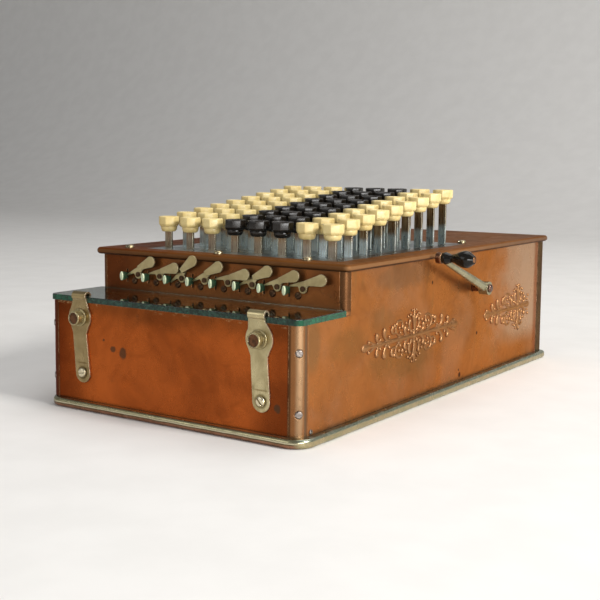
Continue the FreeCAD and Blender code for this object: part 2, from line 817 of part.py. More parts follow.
def crank_arm():
    y, z = grip_axis()
    way = Vec(0, math.cos(math.radians(crank_angle)), math.sin(math.radians(crank_angle)))
    hub = rod_x(crank_arm_x - hub_half_width, crank_arm_x + hub_half_width, crank_y, crank_z, hub_radius)
    root = Vec(crank_arm_x, crank_y, crank_z)
    bar = Part.makeCone(arm_root_radius, arm_tip_radius, crank_length, root, way)
    boss = rod_x(crank_arm_x - boss_half_width, crank_arm_x + boss_half_width, y, z, boss_radius)
    arm = joined([hub, bar, boss])
    arm = arm.cut(rod_x(0, 2 * side_x, crank_y, crank_z, rod_radius + seat_gap))
    return arm.cut(rod_x(0, 2 * side_x, y, z, spindle_radius + seat_gap))


def grip_start():
    return crank_arm_x + boss_half_width + ferrule_thick + 0.2


def crank_spindle():
    y, z = grip_axis()
    start = crank_arm_x - boss_half_width
    pin = rod_x(start, grip_start() + grip_length, y, z, spindle_radius)
    outside = crank_arm_x + boss_half_width
    ferrule = rod_x(outside, outside + ferrule_thick, y, z, ferrule_radius)
    return joined([pin, ferrule])


def crank_grip():
    # A turned handle: bead, hollow neck, long bulb, on arcs through the named radii.
    y, z = grip_axis()
    bore = spindle_radius + running_gap
    length = grip_length
    bead = [(0, grip_bead_radius * 0.8), (0.08, grip_bead_radius), (0.17, grip_bead_radius * 0.88)]
    neck = [(0.25, grip_neck_radius * 1.1), (0.3, grip_neck_radius), (0.36, grip_neck_radius * 1.08)]
    bulb = [(0.45, grip_bulb_radius * 0.66), (0.56, grip_bulb_radius * 0.87), (0.7, grip_bulb_radius)]
    end = [(0.83, grip_bulb_radius * 0.93), (0.94, grip_bulb_radius * 0.64), (1.0, bore + 0.6)]
    curve = Part.BSplineCurve()
    curve.interpolate([Vec(r, 0, t * length) for t, r in bead + neck + bulb + end])
    first, last = curve.value(curve.FirstParameter), curve.value(curve.LastParameter)
    inner = [last, Vec(bore, 0, length), Vec(bore, 0, 0), first]
    wire = Part.Wire([curve.toShape()] + [Part.makeLine(inner[i], inner[i + 1]) for i in range(3)])
    grip = Part.Face(wire).revolve(Vec(0, 0, 0), Vec(0, 0, 1), 360)
    grip.Placement = FreeCAD.Placement(Vec(grip_start(), y, z), FreeCAD.Rotation(Vec(0, 0, 1), Vec(1, 0, 0)))
    return grip


def decimal_pointer(column):
    # A flat pointer on an eye, its paddle set further out to pass in front of the deck's rim.
    rise = pointer_bar_rise
    bend = joggle_from_eye
    bend_end = joggle_from_eye + joggle_length
    near1 = -pointer_panel_gap
    near0 = near1 - pointer_thick
    far1 = -paddle_from_panel
    far0 = far1 - pointer_thick
    bar = slab_y([
        (-pointer_tip_reach, rise - 0.4), (-pointer_tip_reach, rise + 0.4),
        (-2, rise + bar_half_width * 0.75), (bend_end, rise + bar_half_width),
        (bend_end, rise - bar_half_width), (eye_radius * 0.95, 0.4), (-eye_radius * 0.95, 0.4),
        (-3.4, rise - bar_half_width * 0.65)], near0, near1)
    eye = rod_y(0, near0, near1, 0, eye_radius)
    joggle = slab_y([
        (bend, rise - bar_half_width), (bend_end, rise - bar_half_width), (bend_end, rise + bar_half_width),
        (bend, rise + bar_half_width * 0.95)], far0, near1)
    paddle = slab_y([
        (bend, rise - bar_half_width), (bend, rise + bar_half_width * 0.95),
        (paddle_centre * 0.6, rise + paddle_radius * 0.68),
        (paddle_centre - 1.6, rise + paddle_radius * 0.91),
        (paddle_centre - 1.6, rise - paddle_radius * 0.91),
        (paddle_centre * 0.6, rise - paddle_radius * 0.68)],
        far0, far1)
    tip = rod_y(paddle_centre, far0, far1, rise, paddle_radius)
    pointer = joined([bar, eye, joggle, paddle, tip])
    pointer = pointer.cut(rod_y(0, near0 - 1, near1 + 0.3, 0, eye_pin_radius + running_gap))
    pointer.rotate(Vec(0, 0, 0), Vec(0, 1, 0), -pointer_angles[column])
    pointer.translate(Vec(column_x(column, lever_block_x), step_y, eye_z))
    return pointer


def cutoff_knob(column):
    # An upright oval button on a narrow shank, with a blade that goes through the panel's slot.
    x = column_x(column, lever_block_x) + knob_offset_x
    z = eye_z - knob_drop
    back = step_y - knob_back
    face = back - knob_length
    top, side = Vec(x, face, z + knob_half_height), Vec(x + knob_half_width, face, z)
    outline = Part.Ellipse(top, side, Vec(x, face, z))
    head = Part.Face(Part.Wire(outline.toShape())).extrude(Vec(0, knob_length, 0))
    front = [e for e in head.Edges if all(abs(v.Point.y - face) < 1e-6 for v in e.Vertexes)]
    head = head.makeFillet(knob_round, front)
    shank = box(x - shank_half_width, x + shank_half_width, back - knob_length / 2, back + shank_length,
                z - shank_half_height, z + shank_half_height)
    blade = box(x - blade_thick / 2, x + blade_thick / 2, back, step_y + blade_inside,
                z - blade_height / 2, z + blade_height / 2)
    return joined([head, shank, blade])


def panel_studs():
    studs = []
    for column in range(key_columns):
        x = column_x(column, lever_block_x)
        head_y = step_y - pointer_panel_gap - pointer_thick - eye_head_gap
        pin = rod_y(x, head_y, step_y + sheet, eye_z, eye_pin_radius)
        studs.append(joined([pin, rod_y(x, head_y - eye_head_thick, head_y, eye_z, eye_head_radius)]))
        studs.append(screw((x + stud_offset_x, step_y, eye_z - stud_drop), (0, -1, 0), stud_radius, stud_height,
                           1.2, sheet + 1, 30))
    return studs


def glass_clip(i):
    x = clip_x[i]
    neck_x = x + clip_neck_lean[i]
    y0, y1 = front_y - clip_thick, front_y
    half, disc, lean = clip_half_width, clip_disc_radius, clip_lean[i]
    roll_z = glass_top + clip_roll_rise
    neck_top = roll_z - clip_roll_radius + clip_thick
    end_z = clip_screw_z - clip_end_below_screw
    neck = slab_y([
        (neck_x - half, neck_top), (neck_x + half, neck_top), (neck_x + half, clip_disc_z + disc * 1.1),
        (x + disc * 0.82, clip_disc_z + disc * 0.57), (x - disc * 0.82, clip_disc_z + disc * 0.57),
        (neck_x - half, clip_disc_z + disc * 1.1)], y0, y1)
    leg = slab_y([
        (x - disc * 0.82, clip_disc_z - disc * 0.57), (x + disc * 0.82, clip_disc_z - disc * 0.57),
        (x + half, clip_disc_z - disc * 1.05), (x + lean + clip_end_radius, end_z),
        (x + lean - clip_end_radius, end_z), (x - half, clip_disc_z - disc * 1.05)], y0, y1)
    swell = rod_y(x, y0, y1, clip_disc_z, disc)
    end = rod_y(x + lean, y0, y1, end_z, clip_end_radius)
    roll_y = y0 + clip_roll_radius - clip_roll_out
    ring = rod_x(neck_x - half, neck_x + half, roll_y, roll_z, clip_roll_radius).cut(
        rod_x(neck_x - half - 1, neck_x + half + 1, roll_y, roll_z, clip_roll_radius - clip_thick))
    reach = clip_roll_radius + 1
    front_part = ring.common(box(neck_x - half, neck_x + half, roll_y - reach, y1, roll_z - reach, roll_z + reach))
    back_part = ring.common(box(neck_x - half, neck_x + half, y1, roll_y + reach, glass_top, roll_z + reach))
    clip = joined([neck, leg, swell, end, front_part, back_part])
    clip = clip.cut(rod_y(x, y0 - 1, y1 + 1, clip_disc_z, thumb_shank_radius + seat_gap))
    return clip.cut(rod_y(x + lean, y0 - 1, y1 + 1, clip_screw_z, 1.3 + seat_gap))


def thumb_screw(i):
    a, b, c = thumb_radii
    h1 = thumb_steps[0]
    h2 = h1 + thumb_steps[1]
    h3 = h2 + thumb_steps[2]
    shank = clip_thick + sheet + 4.0
    profile = [
        (0, -shank), (thumb_shank_radius, -shank), (thumb_shank_radius, 0), (a, 0), (a, h1 * 0.6),
        (a - 0.6, h1), (b, h1), (b, h2), (c, h2 + 0.3), (c, h3 - 0.4), (c - 0.4, h3),
        (thumb_recess_radius, h3), (thumb_recess_radius, h3 - thumb_recess), (0, h3 - thumb_recess)]
    return turned(profile, (clip_x[i], front_y - clip_thick, clip_disc_z), (0, -1, 0))


def case_screws():
    screws = post_screws()
    for i in range(2):
        origin = (clip_x[i] + clip_lean[i], front_y - clip_thick, clip_screw_z)
        screws.append(screw(origin, (0, -1, 0), clip_screw_radius, clip_screw_height, 1.3,
                             clip_thick + sheet + 2, clip_slot_turn[i]))
    for x, y in deck_screw_places():
        screws.append(screw((x, y, deck_top), (0, 0, 1), deck_screw_radius, deck_screw_height, 1.2,
                             sheet + guide_thick + 1, x))
    y, z = base_screw_place()
    for side in (-1, 1):
        screws.append(screw((side * side_x, y, z), (side, 0, 0), base_screw_radius, 0.8, 0.9, sheet + 1, 20))
    return screws


def build():
    os.makedirs("parts", exist_ok=True)
    save("base_plate", [base_plate()])
    save("base_moulding", [base_moulding()])
    save("front_panel", [front_panel()])
    save("side_panels", [side_panel(1), side_panel(-1)])
    save("side_ornaments", [side_ornament(0), side_ornament(1)])
    save("back_panel", [back_panel()])
    save("lever_panel", [lever_panel()])
    save("deck_cover", [deck_cover()])
    save("corner_posts", corner_posts())
    save("key_guide_plates", key_guide_plates())
    save("key_springs", key_springs())
    save("register_glass", [register_glass()])
    save("register_cover", [register_cover()])
    save("mechanism_frames", mechanism_frames())
    save("frame_rods", frame_rods())
    save("glass_clips", [glass_clip(0), glass_clip(1)])
    save("clip_thumb_screws", [thumb_screw(0), thumb_screw(1)])
    save("case_screws", case_screws())
    save("panel_studs", panel_studs())
    save("column_levers", column_levers())
    save("numeral_wheels", numeral_wheels())
    save("crank_shaft", [crank_shaft()])
    save("crank_arm", [crank_arm()])
    save("crank_spindle", [crank_spindle()])
    save("crank_grip", [crank_grip()])
    save("clearing_link", [clearing_link()])
    for column in range(key_columns):
        save("decimal_pointer_%d" % (column + 1), [decimal_pointer(column)])
        save("cutoff_knob_%d" % (column + 1), [cutoff_knob(column)])
    for row in range(key_rows):
        y = row_y(row)
        places = [column_x(column) for column in range(key_columns)]
        save("key_tops_row_%d" % (row + 1), [key_top(x, y, cap_floor(row)) for x in places])
        save("key_stems_row_%d" % (row + 1), [key_stem(x, y, row) for x in places])


build()
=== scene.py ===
import math
import random

import bmesh
import bpy
from mathutils import Matrix, Vector


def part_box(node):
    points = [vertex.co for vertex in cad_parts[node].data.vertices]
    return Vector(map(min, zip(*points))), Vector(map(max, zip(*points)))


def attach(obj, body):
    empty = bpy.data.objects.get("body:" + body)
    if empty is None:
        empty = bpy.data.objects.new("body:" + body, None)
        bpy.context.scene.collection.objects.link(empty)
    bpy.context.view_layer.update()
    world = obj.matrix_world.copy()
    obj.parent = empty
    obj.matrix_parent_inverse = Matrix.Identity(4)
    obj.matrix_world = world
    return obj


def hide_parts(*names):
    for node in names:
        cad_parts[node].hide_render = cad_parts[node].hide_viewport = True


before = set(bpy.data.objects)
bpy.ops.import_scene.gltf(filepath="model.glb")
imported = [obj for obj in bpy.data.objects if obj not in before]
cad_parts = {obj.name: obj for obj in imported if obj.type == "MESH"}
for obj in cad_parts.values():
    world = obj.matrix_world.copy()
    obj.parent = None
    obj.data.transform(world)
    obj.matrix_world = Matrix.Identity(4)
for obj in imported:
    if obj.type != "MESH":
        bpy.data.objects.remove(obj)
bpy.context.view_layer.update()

MM = 0.001
rng = random.Random(7)

# Sizes and places shared with the CAD, in millimetres
PITCH = 19.05
COLUMNS = 8
ROWS = 9
BLOCK_X = 6.15
BLACK_COLUMNS = (3, 4, 5)
FIRST_ROW_Y = -105.6
CAP_ACROSS = 13.6
PRISM = 6.7
COLLAR = 3.8
GUIDE_X = (-65.0, 77.0)
SIDE_X = 99.425
FRONT_Y = -181.0
STEP_Y = -131.8
POST_JOINT_X = 90.7
CLIP_X = (-71.025, 71.525)
CLIP_SCREW_X = (-68.625, 73.125)
CLIP_SCREW_Z = 24.2
THUMB_SCREW_Z = 60.0
REGISTER_Y, REGISTER_Z = -157.0, 45.0
WHEEL_R = 17.5
GRIP_Y, GRIP_Z = -29.612, 97.956
GRIP_BORE = 2.3

# Where a tint fades in: on the front and the back posts along Y, on the first row's stems along Z, where
# their painted shade ends.
# On the other rows that level rises with Y, as the keys do
FRONT_POSTS_Y = (-150, -160)
BACK_POSTS_Y = (150, 160)
STEM_BROWN_Z = (109, 114)
KEY_RISE = 0.035

# Sizes of the pieces built here, in millimetres
LARGE_FIGURE, SMALL_FIGURE, WHEEL_FIGURE = 5.4, 2.6, 7.0
LARGE_AT, SMALL_AT = (-0.8, 0.3), (2.5, -1.7)
FIGURE_DROP = 0.54
FIGURE_LIFT = 0.03
KEY_TURN_DEG = 2.2
GRIP_STEPS = 48
ORNAMENT_Z = 47.3
ORNAMENTS = ((-46.0, (68.0, 66.0)), (129.0, (64.0, 23.0)))


def column_x(column):
    return BLOCK_X + (column - (COLUMNS - 1) / 2) * PITCH


# Materials


class Shade:
    """A node material built up step by step. Positions are in the row frame, in millimetres."""

    def __init__(self, name):
        self.mat = bpy.data.materials.new(name)
        self.mat.use_nodes = True
        self.tree = self.mat.node_tree
        self.tree.nodes.clear()
        self.out = self.tree.nodes.new("ShaderNodeOutputMaterial")
        self.bsdf = self.tree.nodes.new("ShaderNodeBsdfPrincipled")
        self.link(self.bsdf.outputs[0], self.out.inputs[0])
        coord = self.node("ShaderNodeTexCoord")
        scale = self.node("ShaderNodeVectorMath", operation="SCALE")
        scale.inputs["Scale"].default_value = 1000.0
        self.link(coord.outputs["Object"], scale.inputs[0])
        self.pos = scale.outputs[0]
        self.axes = None

    def node(self, kind, **props):
        n = self.tree.nodes.new(kind)
        for k, v in props.items():
            setattr(n, k, v)
        return n

    def link(self, a, b):
        self.tree.links.new(a, b)

    def put(self, socket, value):
        """Links or sets an input. A colour may leave out its fourth part."""
        if hasattr(value, "is_linked"):
            self.link(value, socket)
        else:
            if isinstance(value, tuple) and len(value) == 3 and len(socket.default_value) == 4:
                value = (*value, 1.0)
            socket.default_value = value

    def xyz(self):
        if self.axes is None:
            n = self.node("ShaderNodeSeparateXYZ")
            self.link(self.pos, n.inputs[0])
            self.axes = n.outputs
        return self.axes

    def math(self, op, a, b=None, clamp=False):
        n = self.node("ShaderNodeMath", operation=op, use_clamp=clamp)
        for i, v in enumerate((a, b)):
            if v is not None:
                self.put(n.inputs[i], v)
        return n.outputs[0]

    def plus(self, a, b, clamp=False):
        return self.math("ADD", a, b, clamp)

    def minus(self, a, b, clamp=False):
        return self.math("SUBTRACT", a, b, clamp)

    def times(self, a, b):
        return self.math("MULTIPLY", a, b)

    def most(self, a, b):
        return self.math("MAXIMUM", a, b)

    def stretch(self, x, y, z):
        n = self.node("ShaderNodeVectorMath", operation="MULTIPLY")
        self.link(self.pos, n.inputs[0])
        n.inputs[1].default_value = (x, y, z)
        return n.outputs[0]

    def noise(self, size, detail=4.0, rough=0.55, distort=0.0, vector=None):
        """Noise whose features are about this many millimetres wide."""
        n = self.node("ShaderNodeTexNoise")
        n.inputs["Scale"].default_value = 1.0 / size
        n.inputs["Detail"].default_value = detail
        n.inputs["Roughness"].default_value = rough
        n.inputs["Distortion"].default_value = distort
        self.link(vector or self.pos, n.inputs["Vector"])
        return n.outputs["Fac"]

    def wobble(self, width, size, *details, vector=None):
        """Noise about 0 that ranges over this width, to make an edge uneven."""
        return self.times(self.minus(self.noise(size, *details, vector=vector), 0.5), width)

    def facing(self):
        """The three parts of the surface's direction."""
        split = self.node("ShaderNodeSeparateXYZ")
        self.link(self.node("ShaderNodeNewGeometry").outputs["Normal"], split.inputs[0])
        return split.outputs

    def ramp(self, fac, low, high, a=0.0, b=1.0):
        """Smooth step of a value from low to high, giving a to b."""
        n = self.node("ShaderNodeMapRange", interpolation_type="SMOOTHSTEP")
        self.put(n.inputs["Value"], fac)
        n.inputs["From Min"].default_value = low
        n.inputs["From Max"].default_value = high
        n.inputs["To Min"].default_value = a
        n.inputs["To Max"].default_value = b
        return n.outputs["Result"]

    def mix(self, fac, a, b, blend="MIX"):
        n = self.node("ShaderNodeMix", data_type="RGBA", blend_type=blend)
        self.put(n.inputs["Factor"], fac)
        self.put(n.inputs[6], a)
        self.put(n.inputs[7], b)
        return n.outputs[2]

    def tinted(self, color, factors):
        return self.mix(1.0, color, factors, "MULTIPLY")

    def stain(self, color, mask, part, tint):
        """The colour with this part of another one laid over it where the mask is 1."""
        return self.mix(self.times(mask, part), color, tint)

    def blob(self, x, y, z, rx, ry, rz, soft, sway=None):
        """A mask that is 1 inside an ellipsoid, with an edge moved by sway.

        A radius of 0 leaves that axis free.
        """
        total = None
        for value, centre, radius in zip(self.xyz(), (x, y, z), (rx, ry, rz)):
            if radius:
                d = self.math("DIVIDE", self.minus(value, centre), radius)
                d = self.times(d, d)
                total = d if total is None else self.plus(total, d)
        if sway is not None:
            total = self.plus(total, sway)
        return self.ramp(total, 1.0 + soft, 1.0 - soft)

    def edge_wear(self, radius):
        """1 along sharp edges, where the rounded and the true normal differ, and the rounded normal."""
        bevel = self.node("ShaderNodeBevel", samples=4)
        bevel.inputs["Radius"].default_value = radius * MM
        geo = self.node("ShaderNodeNewGeometry")
        dot = self.node("ShaderNodeVectorMath", operation="DOT_PRODUCT")
        self.link(bevel.outputs[0], dot.inputs[0])
        self.link(geo.outputs["Normal"], dot.inputs[1])
        return self.ramp(self.minus(1.0, dot.outputs["Value"]), 0.02, 0.12), bevel.outputs[0]

    def crevice(self, distance):
        """A mask for painted shade: 1 deep in corners and under overhangs, 0 in the open."""
        n = self.node("ShaderNodeAmbientOcclusion", samples=6)
        n.inputs["Distance"].default_value = distance * MM
        return self.ramp(n.outputs["AO"], 0.78, 0.30)

    def bump(self, height, distance, strength, normal=None):
        n = self.node("ShaderNodeBump")
        n.inputs["Strength"].default_value = strength
        n.inputs["Distance"].default_value = distance * MM
        self.put(n.inputs["Height"], height)
        if normal is not None:
            self.link(normal, n.inputs["Normal"])
        return n.outputs[0]

    def finish(self, color, metallic, roughness, normal, **fixed):
        names = {"Base Color": color, "Metallic": metallic, "Roughness": roughness, "Normal": normal}
        for k, v in names.items():
            self.put(self.bsdf.inputs[k], v)
        for k, v in fixed.items():
            self.put(self.bsdf.inputs[k.replace("_", " ")], v)
        return self.mat


def shaded_left(s, color, x0, x1, tint):
    """Painted shade: the colour made darker towards the machine's left, from x0 down to x1."""
    sx = s.xyz()[0]
    mask = s.ramp(s.plus(sx, s.times(s.noise(20, 3), 16)), x0, x1)
    return s.mix(mask, color, s.tinted(color, tint))


def copper(name, light=(0.50, 0.175, 0.045), dark=(0.33, 0.105, 0.025), rough=0.3, darken_below=None,
           extra=None, wear=(0.62, 0.34, 0.16), wear_radius=0.7, metallic=0.9, crevice=2.0, mottle=1.0,
           shine=0.5):
    """Old lacquered copper: clouded and dirty, with painted shade in its corners, dark specks and worn
    edges.
    """
    s = Shade(name)
    broad = s.noise(60, 5, 0.6, 0.6)
    color = s.mix(s.ramp(broad, 0.38, 0.70), light, dark)
    cloud = s.noise(16, 6, 0.65, 1.2)
    color = s.mix(s.ramp(cloud, 0.52, 0.78, 0, 0.4 * mottle), color, tuple(0.42 * c for c in light))
    warm = s.noise(30, 4, 0.5, 0.4)
    warm_tint = (1.12 * light[0], 1.05 * light[1], 0.9 * light[2])
    color = s.mix(s.ramp(warm, 0.5, 0.75, 0, 0.5 * mottle), color, warm_tint)
    dirt_and_shade = s.ramp(s.noise(9, 7, 0.7, 0.5), 0.60, 0.74, 0, 0.35 * mottle)
    # Darker towards the bottom, below this height
    if darken_below is not None:
        foot = s.ramp(s.minus(s.xyz()[2], s.times(cloud, 10)), darken_below, darken_below - 5)
        dirt_and_shade = s.most(dirt_and_shade, s.times(foot, 0.75))
    # Painted shade in corners and under overhangs, mixed into the dirt
    hidden = s.crevice(crevice)
    dirt_and_shade = s.most(dirt_and_shade, s.times(hidden, 0.85))
    color = s.mix(dirt_and_shade, color, (0.075, 0.045, 0.02))
    specks = s.ramp(s.noise(1.6, 3, 0.6), 0.71, 0.79)
    color = s.stain(color, specks, 0.6, (0.05, 0.028, 0.014))
    if extra is not None:
        color = extra(s, color)
    edge, rounded = s.edge_wear(wear_radius)
    worn = s.times(edge, s.ramp(s.noise(5, 4, 0.6), 0.35, 0.6))
    color = s.stain(color, worn, 0.6, wear)
    fine = s.noise(0.5, 3, 0.6, vector=s.stretch(1, 1, 0.12))
    roughness = s.plus(s.ramp(cloud, 0.3, 0.75, rough - 0.06, rough + 0.12), s.times(dirt_and_shade, 0.2))
    roughness = s.plus(roughness, s.times(s.minus(fine, 0.5), 0.1), clamp=True)
    height = s.plus(s.times(cloud, 0.6), s.times(fine, 0.15))
    height = s.minus(height, s.times(specks, 0.35))
    normal = s.bump(height, 0.1, 0.3, s.bump(s.noise(70, 2, 0.4), 1.2, 0.3, rounded))
    metal = s.minus(metallic, s.times(dirt_and_shade, 0.5), clamp=True)
    glint = tuple(min(1.0, 1.5 * c + 0.2) for c in light)
    return s.finish(color, metal, roughness, normal, Specular_Tint=glint, Specular_IOR_Level=shine)


def nickel(name, base, dull, rough=0.3, green=0.5, yellow=0.5, radius=0.35, extra=None,
           rim=(0.78, 0.70, 0.50), crevice=2.0):
    """Yellowed nickel plate with a green crust, painted shade in its corners and bright edges."""
    s = Shade(name)
    broad = s.noise(14, 5, 0.6, 0.4)
    color = s.mix(s.ramp(broad, 0.35, 0.7), base, dull)
    color = s.mix(s.ramp(s.noise(22, 3, 0.5), 0.5, 0.7, 0, yellow), color, (0.42, 0.32, 0.14))
    crust = s.ramp(s.noise(4.5, 7, 0.72, 0.5), 0.60, 0.68, 0, green)
    color = s.mix(crust, color, (0.27, 0.29, 0.16))
    specks = s.ramp(s.noise(0.9, 3, 0.6), 0.66, 0.76)
    color = s.stain(color, specks, 0.55, (0.07, 0.05, 0.025))
    # Painted shade in corners and under overhangs
    color = s.stain(color, s.crevice(crevice), 0.8, (0.10, 0.07, 0.03))
    if extra is not None:
        color = extra(s, color)
    edge, rounded = s.edge_wear(radius)
    color = s.stain(color, edge, 0.8, rim)
    roughness = s.plus(s.ramp(broad, 0.3, 0.7, rough - 0.06, rough + 0.14), s.times(crust, 0.4))
    height = s.plus(s.times(broad, 0.5), s.times(crust, 0.6))
    height = s.minus(height, s.times(specks, 0.3))
    normal = s.bump(height, 0.08, 0.4, rounded)
    return s.finish(color, s.minus(0.95, s.times(crust, 0.8)), roughness, normal)


def steel(name, base=(0.30, 0.29, 0.27), rust=(0.16, 0.085, 0.045), rough=0.38, amount=0.5):
    """Steel with this amount of rust."""
    s = Shade(name)
    broad = s.noise(8, 5, 0.6)
    color = s.mix(s.ramp(broad, 0.4, 0.7, 0, amount), base, rust)
    specks = s.ramp(s.noise(0.8, 3, 0.6), 0.64, 0.74)
    color = s.stain(color, specks, 0.6, (0.05, 0.035, 0.025))
    edge, rounded = s.edge_wear(0.25)
    color = s.stain(color, edge, 0.4, tuple(min(1.0, 1.7 * c + 0.06) for c in base))
    roughness = s.ramp(broad, 0.35, 0.7, rough - 0.08, rough + 0.2)
    normal = s.bump(s.minus(broad, s.times(specks, 0.5)), 0.05, 0.35, rounded)
    return s.finish(color, 0.95, roughness, normal)


def front_marks(s, color):
    """Painted shade to the left and under the glass at the top, darker by the right post, with corroded
    spots and dark joint lines.
    """
    sx, _, sz = s.xyz()
    # Painted shade towards the left
    color = shaded_left(s, color, -44, -92, (0.30, 0.22, 0.18))
    # Painted shade under the glass along the top
    sway = s.times(s.noise(18, 4), 16)
    top = s.ramp(s.plus(sz, sway), 62, 76)
    color = s.stain(color, top, 0.8, s.tinted(color, (0.52, 0.60, 0.70)))
    right = s.ramp(s.plus(sx, s.times(s.noise(10, 4), 14)), 70, 94, 0, 0.75)
    color = s.mix(right, color, s.tinted(color, (0.50, 0.44, 0.42)))
    corner = s.blob(90, 0, 14, 24, 0, 22, 0.8, s.minus(s.noise(12, 4), 0.5))
    color = s.stain(color, corner, 0.7, s.tinted(color, (0.5, 0.5, 0.55)))
    wob = s.wobble(2.2, 3, 5, 0.6)
    spots = ((-43, 42, 2.2, 1.9), (-34.5, 40, 2.8, 3.6), (-51, 47, 0.9, 0.8), (84, 21, 2.2, 2.6))
    for x, z, rx, rz in spots:
        color = s.stain(color, s.blob(x, 0, z, rx, 0, rz, 0.45, wob), 0.8, (0.055, 0.035, 0.02))
    joint = s.ramp(s.math("ABSOLUTE", sx), POST_JOINT_X - 0.5, POST_JOINT_X + 0.5)
    color = s.stain(color, joint, 0.85, (0.05, 0.022, 0.010))
    flakes = s.ramp(s.noise(2.2, 6, 0.7, vector=s.stretch(0.55, 1, 1.3)), 0.55, 0.6, 0, 0.35)
    band = s.times(s.ramp(sz, 66.8, 68.8), s.ramp(s.noise(30, 2), 0.38, 0.52))
    return s.stain(color, flakes, band, (0.55, 0.40, 0.20))


def side_marks(s, color):
    """Dark clouds, a milky bloom towards the back, a red line by the back post, and spots."""
    _, sy, sz = s.xyz()
    wob = s.wobble(3.0, 14, 6, 0.65, 0.8)
    dark = s.blob(0, -58, 88, 0, 34, 8, 0.8, wob)
    color = s.stain(color, dark, 0.6, (0.12, 0.07, 0.035))
    milky = s.ramp(s.noise(55, 4, 0.55, 0.4), 0.46, 0.70, 0, 0.35)
    color = s.mix(milky, color, (0.42, 0.235, 0.135))
    streaks = s.ramp(s.noise(8, 4, 0.6, 0.3, s.stretch(1, 1, 0.3)), 0.55, 0.74, 0, 0.4)
    color = s.mix(streaks, color, (0.25, 0.15, 0.065))
    clouds = ((-62, 34, 38, 11, 0.45), (-38, 27, 12, 12, 0.35), (-88, 62, 16, 8, 0.3),
              (-128, 52, 22, 9, 0.35), (128, 30, 26, 8, 0.3))
    for y, z, half_y, half_z, part in clouds:
        cloud = s.blob(0, y, z, 0, half_y, half_z, 0.9, wob)
        color = s.stain(color, cloud, part, (0.17, 0.10, 0.038))
    front = s.blob(0, -168, 58, 0, 7, 16, 0.8, s.times(wob, 0.4))
    color = s.stain(color, front, 0.5, (0.20, 0.13, 0.06))
    sway = s.wobble(90, 26, 5, 0.6, 0.6)
    bloom = s.times(s.ramp(s.plus(sy, sway), 60, 150), s.ramp(s.plus(sz, wob), 14, 34))
    color = s.stain(color, bloom, 0.8, (0.52, 0.40, 0.285))
    red = s.times(s.ramp(sy, 160, 165), 0.75)
    color = s.mix(red, color, (0.24, 0.085, 0.045))
    small = s.wobble(1.6, 2, 4)
    spots = ((53.4, 36, 1.3), (131, 29, 1.1), (25.6, 9.3, 1.8), (24, 13, 0.9), (-20, 80, 1.2))
    for y, z, r in spots:
        color = s.mix(s.blob(0, y, z, 0, r, r, 0.5, small), color, (0.05, 0.03, 0.02))
    return color


def lever_marks(s, color):
    """Painted shade towards the left."""
    return shaded_left(s, color, -8, -84, (0.5, 0.36, 0.25))


def deck_marks(s, color):
    """Painted shade, darker and redder, towards the left, scuffed on top; the rim has a painted lit band on
    the right side, painted shade at the front and painted shade below.
    """
    sx, sy, sz = s.xyz()
    # Painted shade, darker and redder, towards the left
    color = shaded_left(s, color, 30, -80, (0.80, 0.56, 0.40))
    scuff = s.ramp(s.noise(3.0, 5, 0.7, vector=s.stretch(1, 0.35, 1)), 0.60, 0.7, 0, 0.25)
    color = s.mix(scuff, color, (0.16, 0.095, 0.05))
    # The rim: a painted lit band on the right side, painted shade at the front
    rim = s.times(s.ramp(sz, 100.1, 99.5), s.ramp(sz, 97.3, 98.0))
    side = s.ramp(sx, SIDE_X - 2, SIDE_X + 1.5)
    pale = s.mix(s.ramp(sy, 0, 130), (0.23, 0.115, 0.048), (0.15, 0.088, 0.050))
    band = s.mix(side, (0.13, 0.058, 0.022), pale)
    color = s.stain(color, rim, 0.8, band)
    # Painted shade under the rim
    return s.stain(color, s.ramp(sz, 97.9, 97.0), 0.85, (0.04, 0.02, 0.010))


def post_marks(s, color):
    """A painted highlight band between painted dark reflections on the right front post, and painted shade
    on the left front posts.

    The step's posts are darker, and those at the back grey-green, with painted shade along their back
    corner and a dark crease along their front edge.
    """
    sx, sy, sz = s.xyz()
    color = s.mix(s.ramp(sz, 71.5, 73.0), color, s.tinted(color, (0.44, 0.46, 0.50)))
    front = s.ramp(sy, *FRONT_POSTS_Y)
    # A painted highlight band down the right front post
    sway = s.wobble(3.0, 8, 4, vector=s.stretch(1, 1, 0.2))
    across = s.plus(sx, sway)
    band = s.times(s.ramp(across, 94.6, 96.4), s.ramp(across, 99.1, 98.2))
    color = s.stain(color, s.times(band, front), 0.85, (0.33, 0.205, 0.11))
    # A painted dark reflection beyond the highlight
    far = s.times(s.ramp(sy, -176.2, -175.4), s.ramp(sy, -173.6, -174.6))
    color = s.stain(color, s.times(far, front), 0.8, (0.13, 0.085, 0.05))
    # A painted dark reflection on the post's front face, beside the joint
    near_reflection = s.times(s.ramp(sx, 93.4, 92.2), s.ramp(sx, 90, 91))
    color = s.stain(color, s.times(near_reflection, front), 0.85, (0.07, 0.03, 0.012))
    back = s.ramp(sy, *BACK_POSTS_Y)
    olive = s.mix(s.ramp(s.noise(9, 4), 0.35, 0.65), (0.105, 0.085, 0.048), (0.07, 0.058, 0.032))
    color = s.mix(back, color, olive)
    # Painted shade along the back posts' back corner, and a dark crease along their front edge
    rear_shade_lines = s.most(s.ramp(sy, 177.6, 178.8), s.times(s.ramp(sy, 170.6, 169.6), back))
    color = s.stain(color, rear_shade_lines, 0.85, (0.10, 0.055, 0.03))
    # Painted shade on the left front posts
    left = s.times(s.ramp(sx, 20, -20), front)
    return s.stain(color, left, 0.95, (0.075, 0.018, 0.004))


